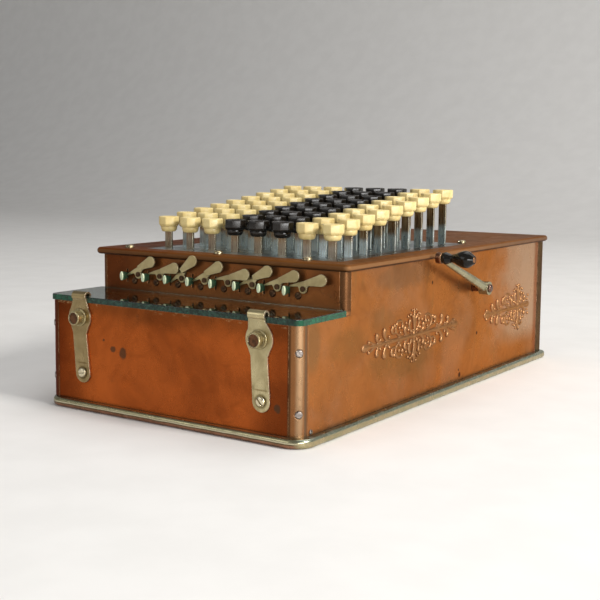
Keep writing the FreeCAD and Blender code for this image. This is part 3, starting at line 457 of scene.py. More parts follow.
def clip_marks(s, color):
    """Brown stains down the strips, darker round the screws, and a painted highlight on the faces turned to
    the right.

    The left strip is duller.
    """
    sx, sy, sz = s.xyz()
    stain = s.ramp(s.noise(4.5, 6, 0.65, 0.6, s.stretch(1.4, 1, 0.6)), 0.5, 0.68, 0, 0.6)
    low = s.ramp(sz, 52, 44)
    color = s.stain(color, stain, low, (0.24, 0.18, 0.08))
    wob = s.wobble(0.8, 2.5, 4)
    for x in CLIP_SCREW_X:
        seat = s.blob(x, 0, CLIP_SCREW_Z, 4.3, 0, 4.3, 0.35)
        color = s.stain(color, seat, 0.75, (0.13, 0.10, 0.035))
        crease = s.blob(x, 0, CLIP_SCREW_Z + 6.4, 4.4, 0, 0.55, 0.5, wob)
        color = s.stain(color, crease, 0.55, (0.16, 0.10, 0.03))
    # A painted highlight on the faces turned to the right
    color = s.mix(s.ramp(s.facing()[0], 0.45, 0.85, 0, 0.7), color, (0.80, 0.62, 0.44))
    left = s.times(s.ramp(sx, 20, -20), s.ramp(sy, STEP_Y - 1, STEP_Y - 20))
    return s.mix(left, color, s.tinted(color, (0.66, 0.58, 0.5)))


def screw_marks(s, color):
    """The front posts' screws are dark steel, and the clips' lower screws are bright."""
    sx, sy, _ = s.xyz()
    post = s.times(s.ramp(sy, *FRONT_POSTS_Y), s.ramp(s.math("ABSOLUTE", sx), 88, 91))
    color = s.stain(color, post, 0.9, (0.24, 0.21, 0.20))
    return s.mix(s.ramp(sy, -182, -183, 0, 0.8), color, (0.74, 0.66, 0.46))


def arm_marks(s, color):
    """The boss that holds the grip is dark and reddish."""
    boss = s.blob(0, GRIP_Y, GRIP_Z, 0, 4.6, 4.6, 0.08)
    return s.mix(boss, color, (0.13, 0.06, 0.035))


def moulding_marks(s, color):
    """Grey-green above, aged and in painted shade, over a painted lit band on the right.

    The front has painted reflections: a pale band with a painted highlight line, a dark line and a
    copper-pink band; a dark line runs where the panels meet it.
    """
    sx, sy, sz = s.xyz()
    level = s.plus(sz, s.wobble(1.0, 12, 3))
    tone = s.ramp(s.noise(6, 5, 0.65, 0.5), 0.4, 0.65)
    # On the right: grey-green above, aged and in painted shade, over a painted lit band
    upper = s.mix(tone, (0.20, 0.26, 0.20), (0.30, 0.33, 0.27))
    pale = s.mix(tone, (0.44, 0.37, 0.22), (0.35, 0.33, 0.19))
    right = s.mix(s.ramp(level, 3.5, 4.5), pale, upper)
    # On the front: a pale band over the floor's copper-pink painted reflection
    band = s.mix(tone, (0.36, 0.33, 0.20), (0.27, 0.26, 0.15))
    floor_reflection = s.mix(tone, (0.30, 0.13, 0.085), (0.20, 0.085, 0.05))
    front = s.mix(s.ramp(level, 2.5, 2.8), floor_reflection, band)
    # A painted highlight line
    front = s.mix(s.times(s.ramp(level, 3.0, 3.2), s.ramp(level, 3.9, 3.5)), front, (0.62, 0.58, 0.42))
    # A painted dark reflection line
    front = s.mix(s.times(s.ramp(level, 2.3, 2.5), s.ramp(level, 3.0, 2.8)), front, (0.05, 0.025, 0.015))
    color = s.mix(0.85, color, s.mix(s.ramp(sx, SIDE_X - 3, SIDE_X + 2), front, right))
    # A dark line where the panels meet it
    high = s.ramp(sz, 4.9, 5.4)
    line = s.most(s.times(s.ramp(sx, SIDE_X + 1.5, SIDE_X + 0.8), s.ramp(sy, -174, -170)),
                  s.times(s.ramp(sy, FRONT_Y - 1.4, FRONT_Y - 0.8), s.ramp(sx, 96, 90)))
    return s.stain(color, s.times(line, high), 0.9, (0.03, 0.032, 0.02))


def composition(name, base, stain, dark, rough=0.32, specular=0.5):
    """Moulded key material, mottled and worn by fingers."""
    s = Shade(name)
    broad = s.noise(9, 4, 0.6)
    color = s.mix(s.ramp(broad, 0.35, 0.7), base, stain)
    cloud = s.noise(2.2, 5, 0.6)
    color = s.mix(s.ramp(cloud, 0.52, 0.78, 0, 0.35), color, dark)
    specks = s.ramp(s.noise(0.55, 2, 0.5), 0.70, 0.76)
    color = s.stain(color, specks, 0.5, dark)
    roughness = s.ramp(broad, 0.3, 0.7, rough - 0.08, rough + 0.1)
    normal = s.bump(s.plus(cloud, s.times(specks, -0.5)), 0.05, 0.3)
    return s.finish(color, 0.0, roughness, normal, Specular_IOR_Level=specular)


def stem_metal(name):
    """Flat stems: brown above, painted shade and reflection under the key tops, and a painted blue-grey
    reflection below, streaked along their length.
    """
    s = Shade(name)
    sx, sy, sz = s.xyz()
    streak = s.noise(0.8, 4, 0.6, vector=s.stretch(1, 1, 0.05))
    cloud = s.noise(5, 5, 0.6)
    # Painted shade and reflection of the key tops above a level that rises with the rows; a painted
    # blue-grey reflection below, lighter to the right
    rise = s.times(s.minus(sy, FIRST_ROW_Y), KEY_RISE)
    level = s.minus(s.plus(sz, s.times(cloud, 5)), rise)
    grey = s.mix(s.ramp(sx, 20, 60), (0.34, 0.40, 0.39), (0.62, 0.72, 0.74))
    color = s.mix(s.ramp(level, *STEM_BROWN_Z), grey, (0.24, 0.15, 0.08))
    front = s.ramp(sy, FRONT_Y + 84, FRONT_Y + 78)
    color = s.stain(color, front, 0.8, (0.26, 0.165, 0.09))
    color = s.mix(s.ramp(streak, 0.4, 0.7, 0, 0.5), color, (0.46, 0.42, 0.30))
    color = s.mix(s.ramp(cloud, 0.55, 0.75, 0, 0.55), color, (0.13, 0.075, 0.035))
    edge, rounded = s.edge_wear(0.35)
    color = s.stain(color, edge, 0.7, (0.74, 0.74, 0.58))
    roughness = s.ramp(streak, 0.3, 0.7, 0.2, 0.42)
    return s.finish(color, 0.95, roughness, s.bump(streak, 0.04, 0.3, rounded))


def guide_metal(name):
    """Blue-grey plate with rust, brown outside the keyboard."""
    s = Shade(name)
    broad = s.noise(20, 5, 0.6, 0.5)
    color = s.mix(s.ramp(broad, 0.35, 0.7), (0.25, 0.30, 0.31), (0.15, 0.18, 0.19))
    rust = s.ramp(s.noise(6, 6, 0.7), 0.6, 0.7, 0, 0.6)
    color = s.mix(rust, color, (0.15, 0.085, 0.05))
    edge, rounded = s.edge_wear(0.3)
    sx = s.xyz()[0]
    left, right = GUIDE_X
    outside = s.most(s.ramp(sx, right - 1.5, right + 1.5), s.ramp(sx, left + 1.5, left - 1.5))
    color = s.stain(color, outside, 0.9, (0.10, 0.05, 0.025))
    color = s.stain(color, edge, 0.5, (0.45, 0.50, 0.50))
    roughness = s.plus(s.ramp(broad, 0.3, 0.7, 0.22, 0.38), s.times(rust, 0.3))
    return s.finish(color, 0.92, roughness, s.bump(broad, 0.1, 0.3, rounded))


def plate_glass(name):
    """Thick old glass: clear through its faces, emerald in its ground edges, with painted light on them
    towards the ends and painted shade between.
    """
    s = Shade(name)
    sx = s.xyz()[0]
    dust = s.ramp(s.noise(12, 6, 0.7), 0.5, 0.8, 0.0, 0.06)
    smear = s.noise(30, 4, 0.5, 1.0)
    roughness = s.plus(s.ramp(smear, 0.4, 0.7, 0.005, 0.03), dust)
    ground = s.ramp(s.math("ABSOLUTE", s.facing()[2]), 0.75, 0.35)
    chips = s.noise(2.2, 5, 0.7)
    emerald = s.mix(s.ramp(chips, 0.35, 0.65), (0.002, 0.040, 0.016), (0.006, 0.11, 0.050))
    # Towards the ends, painted light on the edges; in the middle, painted shade
    deep = s.mix(s.ramp(chips, 0.4, 0.7), (0.006, 0.022, 0.013), (0.03, 0.085, 0.06))
    ends = s.most(s.ramp(sx, SIDE_X - 6, SIDE_X - 1), s.ramp(sx, -52, -86, 0, 0.7))
    color = s.mix(ground, (0.88, 0.97, 0.92), s.mix(ends, deep, emerald))
    clear = s.minus(1.0, s.times(ground, 0.8))
    mat = s.finish(color, 0.0, roughness, s.bump(smear, 0.05, 0.15),
                   Transmission_Weight=clear, IOR=1.5, Specular_IOR_Level=0.3)
    volume = s.node("ShaderNodeVolumeAbsorption")
    volume.inputs["Color"].default_value = (0.08, 0.78, 0.52, 1)
    volume.inputs["Density"].default_value = 24.0
    s.link(volume.outputs[0], s.out.inputs["Volume"])
    return mat


def knob_enamel(name):
    """A pale head on a dark green blade."""
    s = Shade(name)
    sy = s.xyz()[1]
    cloud = s.noise(2.0, 4, 0.6)
    head = s.mix(s.ramp(cloud, 0.4, 0.7), (0.68, 0.74, 0.50), (0.46, 0.56, 0.34))
    shank = s.mix(s.ramp(cloud, 0.4, 0.7), (0.03, 0.085, 0.045), (0.015, 0.035, 0.02))
    color = s.mix(s.ramp(sy, STEP_Y - 5.9, STEP_Y - 5.3), head, shank)
    roughness = s.ramp(cloud, 0.3, 0.7, 0.22, 0.4)
    return s.finish(color, 0.0, roughness, s.bump(cloud, 0.04, 0.3), Coat_Weight=0.3)


def thumb_metal(name):
    """Plated brass screw with a bright rim, a brown recess and painted shade in its corners."""
    s = Shade(name)
    cloud = s.noise(3, 5, 0.6)
    color = s.mix(s.ramp(cloud, 0.4, 0.7), (0.42, 0.35, 0.18), (0.26, 0.20, 0.09))
    # Painted shade in corners and under overhangs
    color = s.stain(color, s.crevice(2.0), 0.8, (0.07, 0.045, 0.02))
    recess = s.mix(s.ramp(cloud, 0.4, 0.65), (0.15, 0.065, 0.03), (0.07, 0.035, 0.018))
    for x in CLIP_X:
        color = s.mix(s.blob(x, 0, THUMB_SCREW_Z, 3.85, 0, 3.85, 0.08), color, recess)
    edge, rounded = s.edge_wear(0.3)
    color = s.stain(color, edge, 0.7, (0.76, 0.68, 0.46))
    return s.finish(color, 0.9, s.ramp(cloud, 0.3, 0.7, 0.25, 0.45), s.bump(cloud, 0.06, 0.35, rounded))


def plain_dark(name, color, rough):
    """A dark finish that is hardly clouded, for ink and hidden plates."""
    s = Shade(name)
    cloud = s.noise(6, 5, 0.6)
    tint = s.mix(s.ramp(cloud, 0.4, 0.75), color, tuple(c * 2.2 for c in color))
    return s.finish(tint, 0.1, s.ramp(cloud, 0.3, 0.7, rough - 0.1, rough + 0.15), s.bump(cloud, 0.05, 0.3))


def glossy_black(name):
    """The polished black of the crank's grip."""
    s = Shade(name)
    cloud = s.noise(5, 4, 0.6)
    tint = s.mix(s.ramp(cloud, 0.4, 0.75), (0.006, 0.005, 0.004), (0.014, 0.010, 0.007))
    normal = s.bump(s.noise(1.2, 3, 0.5), 0.012, 0.05)
    return s.finish(tint, 0.0, s.ramp(cloud, 0.35, 0.7, 0.04, 0.10), normal,
                    Coat_Weight=0.2, Coat_Roughness=0.03, Specular_IOR_Level=0.15)


MAT = {
    "copper_panel": copper("copper_panel", light=(0.40, 0.155, 0.049), dark=(0.29, 0.116, 0.040),
                           extra=side_marks, metallic=0.85),
    "copper_front": copper("copper_front", light=(0.42, 0.097, 0.018), dark=(0.26, 0.058, 0.011),
                           extra=front_marks, metallic=0.85, rough=0.24, crevice=1.5),
    "copper_plain": copper("copper_plain", darken_below=5, metallic=0.85),
    "copper_dark": copper("copper_dark", light=(0.25, 0.086, 0.024), dark=(0.15, 0.049, 0.013),
                          extra=lever_marks, metallic=0.7, crevice=6.0),
    "copper_deck": copper("copper_deck", light=(0.155, 0.057, 0.013), dark=(0.108, 0.038, 0.008),
                          rough=0.5, extra=deck_marks, wear=(0.24, 0.14, 0.07), wear_radius=0.8,
                          metallic=0.25, shine=0.12),
    "copper_post": copper("copper_post", light=(0.27, 0.115, 0.042), dark=(0.21, 0.085, 0.031),
                          rough=0.28, extra=post_marks, wear=(0.50, 0.30, 0.18), mottle=0.4,
                          metallic=0.8),
    "relief": copper("relief", light=(0.37, 0.19, 0.085), dark=(0.28, 0.14, 0.06), rough=0.36,
                     wear=(0.60, 0.49, 0.35), wear_radius=0.6, metallic=0.85, crevice=1.0),
    "ferrule": copper("ferrule", light=(0.40, 0.22, 0.13), dark=(0.24, 0.12, 0.07), rough=0.24),
    "nickel": nickel("nickel", (0.54, 0.46, 0.26), (0.38, 0.31, 0.16), extra=clip_marks),
    "arm": nickel("arm", (0.37, 0.35, 0.22), (0.28, 0.25, 0.14), green=0.3, yellow=0.25,
                  extra=arm_marks, rim=(0.60, 0.58, 0.42)),
    "moulding": nickel("moulding", (0.44, 0.36, 0.19), (0.30, 0.22, 0.10), green=0.7, rough=0.24,
                       extra=moulding_marks, crevice=1.5),
    "pointer": nickel("pointer", (0.54, 0.45, 0.24), (0.42, 0.33, 0.165), green=0.1, rough=0.34,
                      rim=(0.74, 0.68, 0.48)),
    "screw": nickel("screw", (0.46, 0.40, 0.26), (0.30, 0.23, 0.13), green=0.2, rough=0.26,
                    radius=0.2, rim=(0.80, 0.74, 0.58), crevice=4.0, extra=screw_marks),
    "dark_steel": steel("dark_steel", base=(0.10, 0.095, 0.09)),
    "inner_steel": steel("inner_steel"),
    "stud": steel("stud", base=(0.10, 0.055, 0.03), rust=(0.07, 0.03, 0.014)),
    "shaft": steel("shaft", base=(0.17, 0.10, 0.075), amount=0.4, rust=(0.09, 0.045, 0.03), rough=0.2),
    "stem": stem_metal("stem"),
    "guide": guide_metal("guide"),
    "glass": plate_glass("glass"),
    "knob": knob_enamel("knob"),
    "thumb": thumb_metal("thumb"),
    "black": glossy_black("black"),
    "cream": composition("cream", (0.73, 0.59, 0.27), (0.65, 0.49, 0.19), (0.40, 0.24, 0.07), 0.3),
    "black_key": composition("black_key", (0.008, 0.006, 0.004), (0.013, 0.009, 0.006),
                             (0.024, 0.016, 0.009), 0.2, 0.45),
    "pale_ink": composition("pale_ink", (0.78, 0.74, 0.62), (0.68, 0.62, 0.48), (0.4, 0.33, 0.2)),
    "wheel": composition("wheel", (0.80, 0.76, 0.64), (0.70, 0.64, 0.48), (0.42, 0.34, 0.2)),
    "ink": plain_dark("ink", (0.015, 0.012, 0.010), 0.45),
    "cover": plain_dark("cover", (0.014, 0.013, 0.012), 0.35),
}

# The nodes that each material is for
PAINTED = {
    "copper_panel": ["side_panels"],
    "copper_front": ["front_panel"],
    "copper_plain": ["back_panel"],
    "copper_dark": ["lever_panel"],
    "copper_deck": ["deck_cover"],
    "copper_post": ["corner_posts"],
    "relief": ["side_ornaments"],
    "ferrule": ["crank_spindle"],
    "nickel": ["glass_clips"],
    "arm": ["crank_arm"],
    "moulding": ["base_moulding"],
    "pointer": ["decimal_pointer_%d" % n for n in range(1, COLUMNS + 1)],
    "screw": ["case_screws"],
    "dark_steel": ["base_plate"],
    "inner_steel": ["mechanism_frames", "frame_rods", "column_levers", "clearing_link", "key_springs"],
    "stud": ["panel_studs"],
    "shaft": ["crank_shaft"],
    "stem": ["key_stems_row_%d" % n for n in range(1, ROWS + 1)],
    "guide": ["key_guide_plates"],
    "glass": ["register_glass"],
    "knob": ["cutoff_knob_%d" % n for n in range(1, COLUMNS + 1)],
    "thumb": ["clip_thumb_screws"],
    "wheel": ["numeral_wheels"],
    "cover": ["register_cover"],
}
for look, nodes in PAINTED.items():
    for node in nodes:
        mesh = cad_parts[node].data
        mesh.materials.clear()
        mesh.materials.append(MAT[look])


# Pieces built here


def add_piece(name, bm, materials, smooth_angle=40):
    """Makes a mesh object from bm, given in millimetres."""
    bmesh.ops.scale(bm, vec=(MM, MM, MM), verts=bm.verts)
    mesh = bpy.data.meshes.new(name)
    bm.to_mesh(mesh)
    bm.free()
    for m in materials:
        mesh.materials.append(m)
    mesh.shade_smooth()
    mesh.set_sharp_from_angle(angle=math.radians(smooth_angle))
    obj = bpy.data.objects.new(name, mesh)
    bpy.context.scene.collection.objects.link(obj)
    return obj


def ring_faces(bm, rings, close_ends=True):
    """Skins rings of as many vertices each, one after the other."""
    for a, b in zip(rings, rings[1:]):
        count = len(a)
        for i in range(count):
            j = (i + 1) % count
            bm.faces.new((a[i], a[j], b[j], b[i]))
    if close_ends:
        bm.faces.new(rings[0][::-1])
        bm.faces.new(rings[-1])


def circle(count):
    return [i * math.tau / count for i in range(count)]


def lathe(bm, profile, count=28):
    """Turns a profile of (radius, z) about the Z axis."""
    ring_faces(bm, [[bm.verts.new((r * math.cos(a), r * math.sin(a), z)) for a in circle(count)]
                    for r, z in profile])


def key_cap():
    """A round collar under a bevelled eight-sided button, about its own axis and with its foot at z 0."""
    collar = bmesh.new()
    lathe(collar, [(3.4, 0.0), (4.2, 0.1), (4.75, 0.45), (5.15, 1.0), (5.45, 1.7), (5.62, 2.4),
                   (5.68, 3.2), (5.6, 3.6), (5.3, COLLAR + 0.05)])
    prism = bmesh.new()
    corner = CAP_ACROSS / 2 / math.cos(math.pi / 8)
    turns = [math.pi / 8 + i * math.pi / 4 for i in range(8)]
    rim = COLLAR + PRISM
    rings = []
    for k, z in ((0.87, COLLAR), (0.99, COLLAR + 1.5), (1.0, rim - 0.7), (0.965, rim - 0.02)):
        rings.append([prism.verts.new((corner * k * math.cos(a), corner * k * math.sin(a), z))
                      for a in turns])
    ring_faces(prism, rings)
    bmesh.ops.bevel(prism, geom=prism.edges[:], offset=0.26, segments=2, profile=0.6, affect="EDGES")
    high = [f for f in prism.faces if f.calc_center_median().z > rim - 0.2]
    top = max(high, key=lambda f: f.calc_area())
    for thickness, depth in ((0.9, 0.0), (0.5, -0.35), (1.5, -0.2)):
        bmesh.ops.inset_region(prism, faces=[top], thickness=thickness, depth=depth)
    whole = bpy.data.meshes.new("key_cap")
    prism.to_mesh(whole)
    prism.free()
    collar.from_mesh(whole)
    bpy.data.meshes.remove(whole)
    bmesh.ops.recalc_face_normals(collar, faces=collar.faces[:])
    mesh = bpy.data.meshes.new("key_cap")
    collar.to_mesh(mesh)
    collar.free()
    return mesh


def text_mesh(text, size):
    """Flat figures, centred, in millimetres."""
    curve = bpy.data.curves.new("figures", "FONT")
    curve.body = text
    curve.size = size
    curve.align_x = "CENTER"
    curve.align_y = "CENTER"
    curve.resolution_u = 3
    obj = bpy.data.objects.new("figures", curve)
    bpy.context.scene.collection.objects.link(obj)
    mesh = bpy.data.meshes.new_from_object(obj.evaluated_get(bpy.context.evaluated_depsgraph_get()))
    bpy.data.objects.remove(obj)
    bpy.data.curves.remove(curve)
    return mesh


def add_mesh(bm, mesh, matrix, material):
    """Adds a moved copy of the mesh to bm, with this material number."""
    before = len(bm.faces)
    start = len(bm.verts)
    bm.from_mesh(mesh)
    bm.verts.ensure_lookup_table()
    bm.faces.ensure_lookup_table()
    bmesh.ops.transform(bm, matrix=matrix, verts=bm.verts[start:])
    for f in bm.faces[before:]:
        f.material_index = material


def build_keys():
    """The key tops of each row, cream and black apart, with the nines' complement as the small figure."""
    cap = key_cap()
    large = {n: text_mesh(str(n), LARGE_FIGURE) for n in range(1, ROWS + 1)}
    small = {n: text_mesh(str(n), SMALL_FIGURE) for n in range(0, ROWS)}
    cream = [c for c in range(COLUMNS) if c not in BLACK_COLUMNS]
    for row in range(ROWS):
        node = "key_tops_row_%d" % (row + 1)
        lo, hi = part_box(node)
        y = (lo[1] + hi[1]) / 2 / MM
        z = lo[2] / MM
        face = z + COLLAR + PRISM - FIGURE_DROP
        figures = ((large[row + 1], LARGE_AT), (small[ROWS - 1 - row], SMALL_AT))
        for shade, ink, columns in (("cream", "ink", cream), ("black_key", "pale_ink", BLACK_COLUMNS)):
            bm = bmesh.new()
            for c in columns:
                x = column_x(c)
                angle = math.radians(rng.uniform(-KEY_TURN_DEG, KEY_TURN_DEG))
                add_mesh(bm, cap, Matrix.Translation((x, y, z)) @ Matrix.Rotation(angle, 4, "Z"), 0)
                for figure, (right, up) in figures:
                    add_mesh(bm, figure, Matrix.Translation((x + right, y + up, face)), 1)
            name = "keys_%s_row_%d" % (shade.split("_")[0], row + 1)
            piece = add_piece(name, bm, [MAT[shade], MAT[ink]], 30)
            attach(piece, "keys_row_%d" % (row + 1))
            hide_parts(node)


def build_figures():
    """The figures round each numeral wheel, wrapped on its rim. The left wheel has no column of keys."""
    digits = {n: text_mesh(str(n), WHEEL_FIGURE) for n in range(10)}
    bm = bmesh.new()
    r = WHEEL_R + FIGURE_LIFT
    for c in range(-1, COLUMNS):
        for n in range(10):
            start = len(bm.verts)
            bm.from_mesh(digits[n])
            bm.verts.ensure_lookup_table()
            for v in bm.verts[start:]:
                turn = v.co.y / r - n * math.tau / 10
                v.co = Vector((column_x(c) + v.co.x, REGISTER_Y + r * math.sin(turn),
                               REGISTER_Z + r * math.cos(turn)))
    piece = add_piece("wheel_figures", bm, [MAT["ink"]])
    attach(piece, "register_wheels")


# The ornaments, as (distance from the spike, height above the stem). A frond is the four controls of its
# curve, its half width at the start and at the end, and the radius of its head.
FRONDS = [
    ([(1.0, 3.0), (4.5, 3.5), (8.5, 6.0), (6.4, 10.4)], 0.7, 1.3, 1.5),
    ([(3.0, 0.8), (8.0, 0.8), (14.5, 2.0), (12.9, 6.2)], 0.7, 1.7, 1.9),
    ([(11.0, 0.8), (20.0, 0.6), (29.5, 5.0), (23.0, 11.0)], 0.8, 1.1, 0.0),
    ([(23.0, 11.0), (20.0, 13.0), (14.0, 12.0), (16.6, 7.8)], 1.1, 0.8, 1.7),
    ([(24.0, 5.0), (27.0, 4.0), (32.0, 4.5), (30.0, 8.6)], 0.7, 1.5, 1.8),
    ([(27.0, 0.8), (35.0, 0.8), (41.5, 2.0), (40.3, 8.2)], 0.7, 1.8, 2.0),
    ([(39.0, 0.8), (46.0, 0.8), (50.6, 1.6), (49.8, 6.0)], 0.7, 1.7, 1.9),
    ([(50.0, 0.8), (54.0, 1.0), (56.0, 3.2), (60.0, 3.2)], 0.6, 1.1, 1.2),
]
SPIKE_LEAF = [(0.3, 4.0), (0.6, 9.0), (2.0, 13.5), (5.5, 14.3)]
# A lobe has a radius too
LOBES = [(4.2, 3.4, 1.5), (8.2, 4.6, 1.3), (11.0, 9.4, 1.3), (20.5, 7.4, 1.3), (26.5, 9.6, 1.5),
         (19.0, 4.2, 1.1), (33.5, 3.4, 1.1), (45.0, 3.0, 1.0), (2.9, 17.0, 1.0), (8.4, 13.4, 1.1)]
# Half widths and heights of the stem, which ends in a bud, and of the spike
BUD = (12, 9.5, 7, 4.5, 2, 0.6, 0)
STEM_WIDTHS = [1.9, 1.5, 1.25, 1.0, 1.3, 2.2, 2.7, 2.5, 1.5, 0.3]
STEM_HEIGHTS = [1.5, 1.3, 1.15, 0.9, 0.9, 1.2, 1.35, 1.2, 0.8, 0.2]
SPIKE = (0.0, 3.0, 6.0, 9.5, 13.0, 15.5, 17.0, 18.4)
SPIKE_WIDTHS = [1.6, 0.9, 0.8, 1.2, 1.75, 1.2, 0.9, 0.3]
SPIKE_HEIGHTS = [1.5, 1.2, 1.1, 1.2, 1.4, 1.2, 1.1, 0.4]


def cubic(controls, count=15):
    """Points of the curve with these four controls."""
    points = []
    for i in range(count):
        t = i / (count - 1)
        u = 1 - t
        w = (u * u * u, 3 * u * u * t, 3 * u * t * t, t * t * t)
        points.append(tuple(sum(a * p[k] for a, p in zip(w, controls)) for k in (0, 1)))
    return points


def tube(bm, points, radii, heights, sides=10):
    """A half-sunk rib along points of (y, z), standing out along X from 0."""
    rings = []
    for i, (y, z) in enumerate(points):
        y0, z0 = points[max(i - 1, 0)]
        y1, z1 = points[min(i + 1, len(points) - 1)]
        run = math.hypot(y1 - y0, z1 - z0) or 1
        ny, nz = -(z1 - z0) / run, (y1 - y0) / run
        ring = []
        for k in range(sides):
            a = k * math.tau / sides
            out, side = math.sin(a) * heights[i], math.cos(a) * radii[i]
            ring.append(bm.verts.new((out, y + ny * side, z + nz * side)))
        rings.append(ring)
    ring_faces(bm, rings)


def ball(bm, y, z, r, out):
    """A half-sunk ball of this radius that stands out this far."""
    made = bmesh.ops.create_uvsphere(bm, u_segments=14, v_segments=9, radius=1.0)["verts"]
    bmesh.ops.scale(bm, vec=(out, r, r), verts=made)
    bmesh.ops.translate(bm, vec=(0, y, z), verts=made)


def build_ornament(number, centre_y, reach):
    """A leaf scroll on the right side panel, mirrored about its stem.

    Its reach is how far it goes in front of its centre and behind it.
    """
    bm = bmesh.new()
    for out, far in zip((-1, 1), reach):
        spots = [0.0, 0.25 * far, 0.5 * far] + [far - d for d in BUD]
        tube(bm, [(out * d, 0.0) for d in spots], STEM_WIDTHS, STEM_HEIGHTS)
        for up in (-1, 1):
            for controls, thin, thick, head in FRONDS:
                if max(s for s, t in controls) < far - 3.5:
                    pts = [(out * s, up * t) for s, t in cubic(controls)]
                    n = len(pts)
                    grow = [(k / (n - 1)) ** 1.5 for k in range(n)]
                    tube(bm, pts, [thin + (thick - thin) * g for g in grow],
                         [0.7 + (thick - 0.7) * 0.85 * g for g in grow])
                    if head:
                        ball(bm, pts[-1][0] - out * 0.25, pts[-1][1], head, 0.9 + head * 0.42)
            leaf = [(out * s, up * t) for s, t in cubic(SPIKE_LEAF)]
            n = len(leaf)
            tube(bm, leaf, [0.9 - 0.3 * k / n for k in range(n)], [1.3] * n)
            ball(bm, leaf[-1][0], leaf[-1][1], 1.15, 1.4)
    for up in (-1, 1):
        tube(bm, [(0.0, up * t) for t in SPIKE], SPIKE_WIDTHS, SPIKE_HEIGHTS)
    ball(bm, 0, 0, 2.9, 1.8)
    for y, z, r in LOBES:
        for out, far in zip((-1, 1), reach):
            if y + r < far:
                for up in (-1, 1):
                    ball(bm, out * y, up * z, r, 0.7 + r * 0.42)
    bmesh.ops.translate(bm, vec=(SIDE_X - 0.05, centre_y, ORNAMENT_Z), verts=bm.verts)
    piece = add_piece("ornament_%d" % number, bm, [MAT["relief"]], 80)
    remesh = piece.modifiers.new("blend", "REMESH")
    remesh.mode = "VOXEL"
    remesh.voxel_size = 0.26 * MM
    remesh.use_smooth_shade = True
    soften = piece.modifiers.new("soften", "SMOOTH")
    soften.factor = 0.5
    soften.iterations = 3
    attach(piece, "case")
    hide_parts("side_ornaments")


def between(p0, p1, p2, p3, t):
    """A point of the smooth curve through four points, at the share t of the way from p1 to p2."""
    return [0.5 * (2 * b + (c - a) * t + (2 * a - 5 * b + 4 * c - d) * t * t
                   + (3 * b - a - 3 * c + d) * t ** 3) for a, b, c, d in zip(p0, p1, p2, p3)]


def build_grip():
    """The turned crank handle: bead, hollow neck and bulb, open at both ends for its spindle."""
    lo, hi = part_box("crank_grip")
    start = lo[0] / MM
    length = (hi[0] - lo[0]) / MM
    # (share of the length, radius), with the bore at both ends
    points = [(0, GRIP_BORE), (0.0, 3.28), (0.08, 4.08), (0.17, 3.6), (0.25, 2.87), (0.3, 2.62),
              (0.36, 2.82), (0.45, 3.76), (0.56, 4.95), (0.7, 5.66), (0.83, 5.28), (0.94, 3.64),
              (1.0, 2.7), (1.0, GRIP_BORE)]
    curve = points[1:-1]
    last = len(curve) - 1
    profile = [points[0]]
    for i in range(last):
        for k in range(6):
            t, r = between(curve[max(i - 1, 0)], curve[i], curve[i + 1], curve[min(i + 2, last)], k / 6)
            profile.append((min(max(t, 0.0), 1.0), r))
    profile += points[-2:]
    bm = bmesh.new()
    rings = []
    for t, r in profile:
        rings.append([bm.verts.new((start + t * length, GRIP_Y + r * math.cos(a), GRIP_Z + r * math.sin(a)))
                      for a in circle(GRIP_STEPS)])
    ring_faces(bm, rings + rings[:1], False)
    bmesh.ops.recalc_face_normals(bm, faces=bm.faces[:])
    piece = add_piece("grip_turned", bm, [MAT["black"]], 50)
    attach(piece, "grip")
    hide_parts("crank_grip")


build_keys()
build_figures()
build_grip()
for number, (centre_y, reach) in enumerate(ORNAMENTS, 1):
    build_ornament(number, centre_y, reach)


# Stage, light and camera


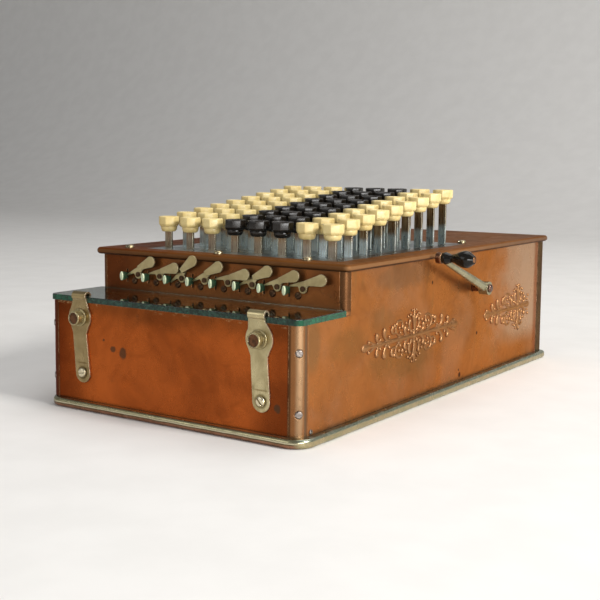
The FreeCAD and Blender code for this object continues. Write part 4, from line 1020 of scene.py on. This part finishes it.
def plain_floor():
    """A wide floor just under the machine that curves up into a wall behind it, in millimetres."""
    span, front, back, bend, height, drop = 6000, -3000, 1500, 900, 4000, 0.05
    turns = [math.radians(10 * k) for k in range(1, 10)]
    rows = [(front, -drop), (back, -drop)]
    rows += [(back + bend * math.sin(a), bend - bend * math.cos(a) - drop) for a in turns]
    rows.append((back + bend, height))
    bm = bmesh.new()
    ends = [[bm.verts.new((x, y, z)) for x in (-span, span)] for y, z in rows]
    for a, b in zip(ends, ends[1:]):
        bm.faces.new((a[0], a[1], b[1], b[0]))
    s = Shade("floor")
    grain = s.noise(40, 4, 0.5)
    color = s.mix(s.ramp(grain, 0.3, 0.7), (0.78, 0.765, 0.74), (0.75, 0.735, 0.71))
    mat = s.finish(color, 0.0, 0.75, s.bump(s.noise(3, 3), 0.05, 0.2))
    floor = add_piece("floor", bm, [mat])


def area_light(name, place, aim, size, power, color=(1, 1, 1)):
    data = bpy.data.lights.new(name, "AREA")
    data.shape = "RECTANGLE"
    data.size, data.size_y = size
    data.energy = power
    data.color = color
    obj = bpy.data.objects.new(name, data)
    obj.location = place
    obj.rotation_euler = (Vector(aim) - Vector(place)).to_track_quat("-Z", "Y").to_euler()
    bpy.context.scene.collection.objects.link(obj)


plain_floor()
# Name, place, aim and size in metres, then watts and colour
area_light("key", (1.75, -0.08, 1.12), (0, 0, 0.05), (0.4, 0.4), 38, (1.0, 0.98, 0.95))
area_light("window", (1.4, -0.85, 0.20), (0, 0, 0.12), (0.7, 0.35), 10)
area_light("top", (0.2, 0.6, 1.9), (0, 0, 0), (1.6, 1.6), 17)
area_light("front", (-0.7, -1.7, 0.8), (0, 0, 0.05), (1.4, 1.0), 7)

world = bpy.data.worlds.new("studio")
bpy.context.scene.world = world
world.use_nodes = True
background = world.node_tree.nodes["Background"]
background.inputs["Color"].default_value = (0.92, 0.93, 0.95, 1)
background.inputs["Strength"].default_value = 0.28

# The camera that took the photograph, as fitted to the corners, key tops, clips and crank in it
cam_data = bpy.data.cameras.new("camera")
cam_data.sensor_width = 36.0
cam_data.lens = 65.6
cam_data.shift_x = 0.0308
cam_data.shift_y = -0.0494
cam_data.clip_start = 0.01
camera = bpy.data.objects.new("camera", cam_data)
camera.location = (0.43195, -0.6834, 0.1643)
camera.rotation_euler = (1.466691, -0.007040, 0.603587)
bpy.context.scene.collection.objects.link(camera)
bpy.context.scene.camera = camera
bpy.context.scene.view_settings.view_transform = "Standard"
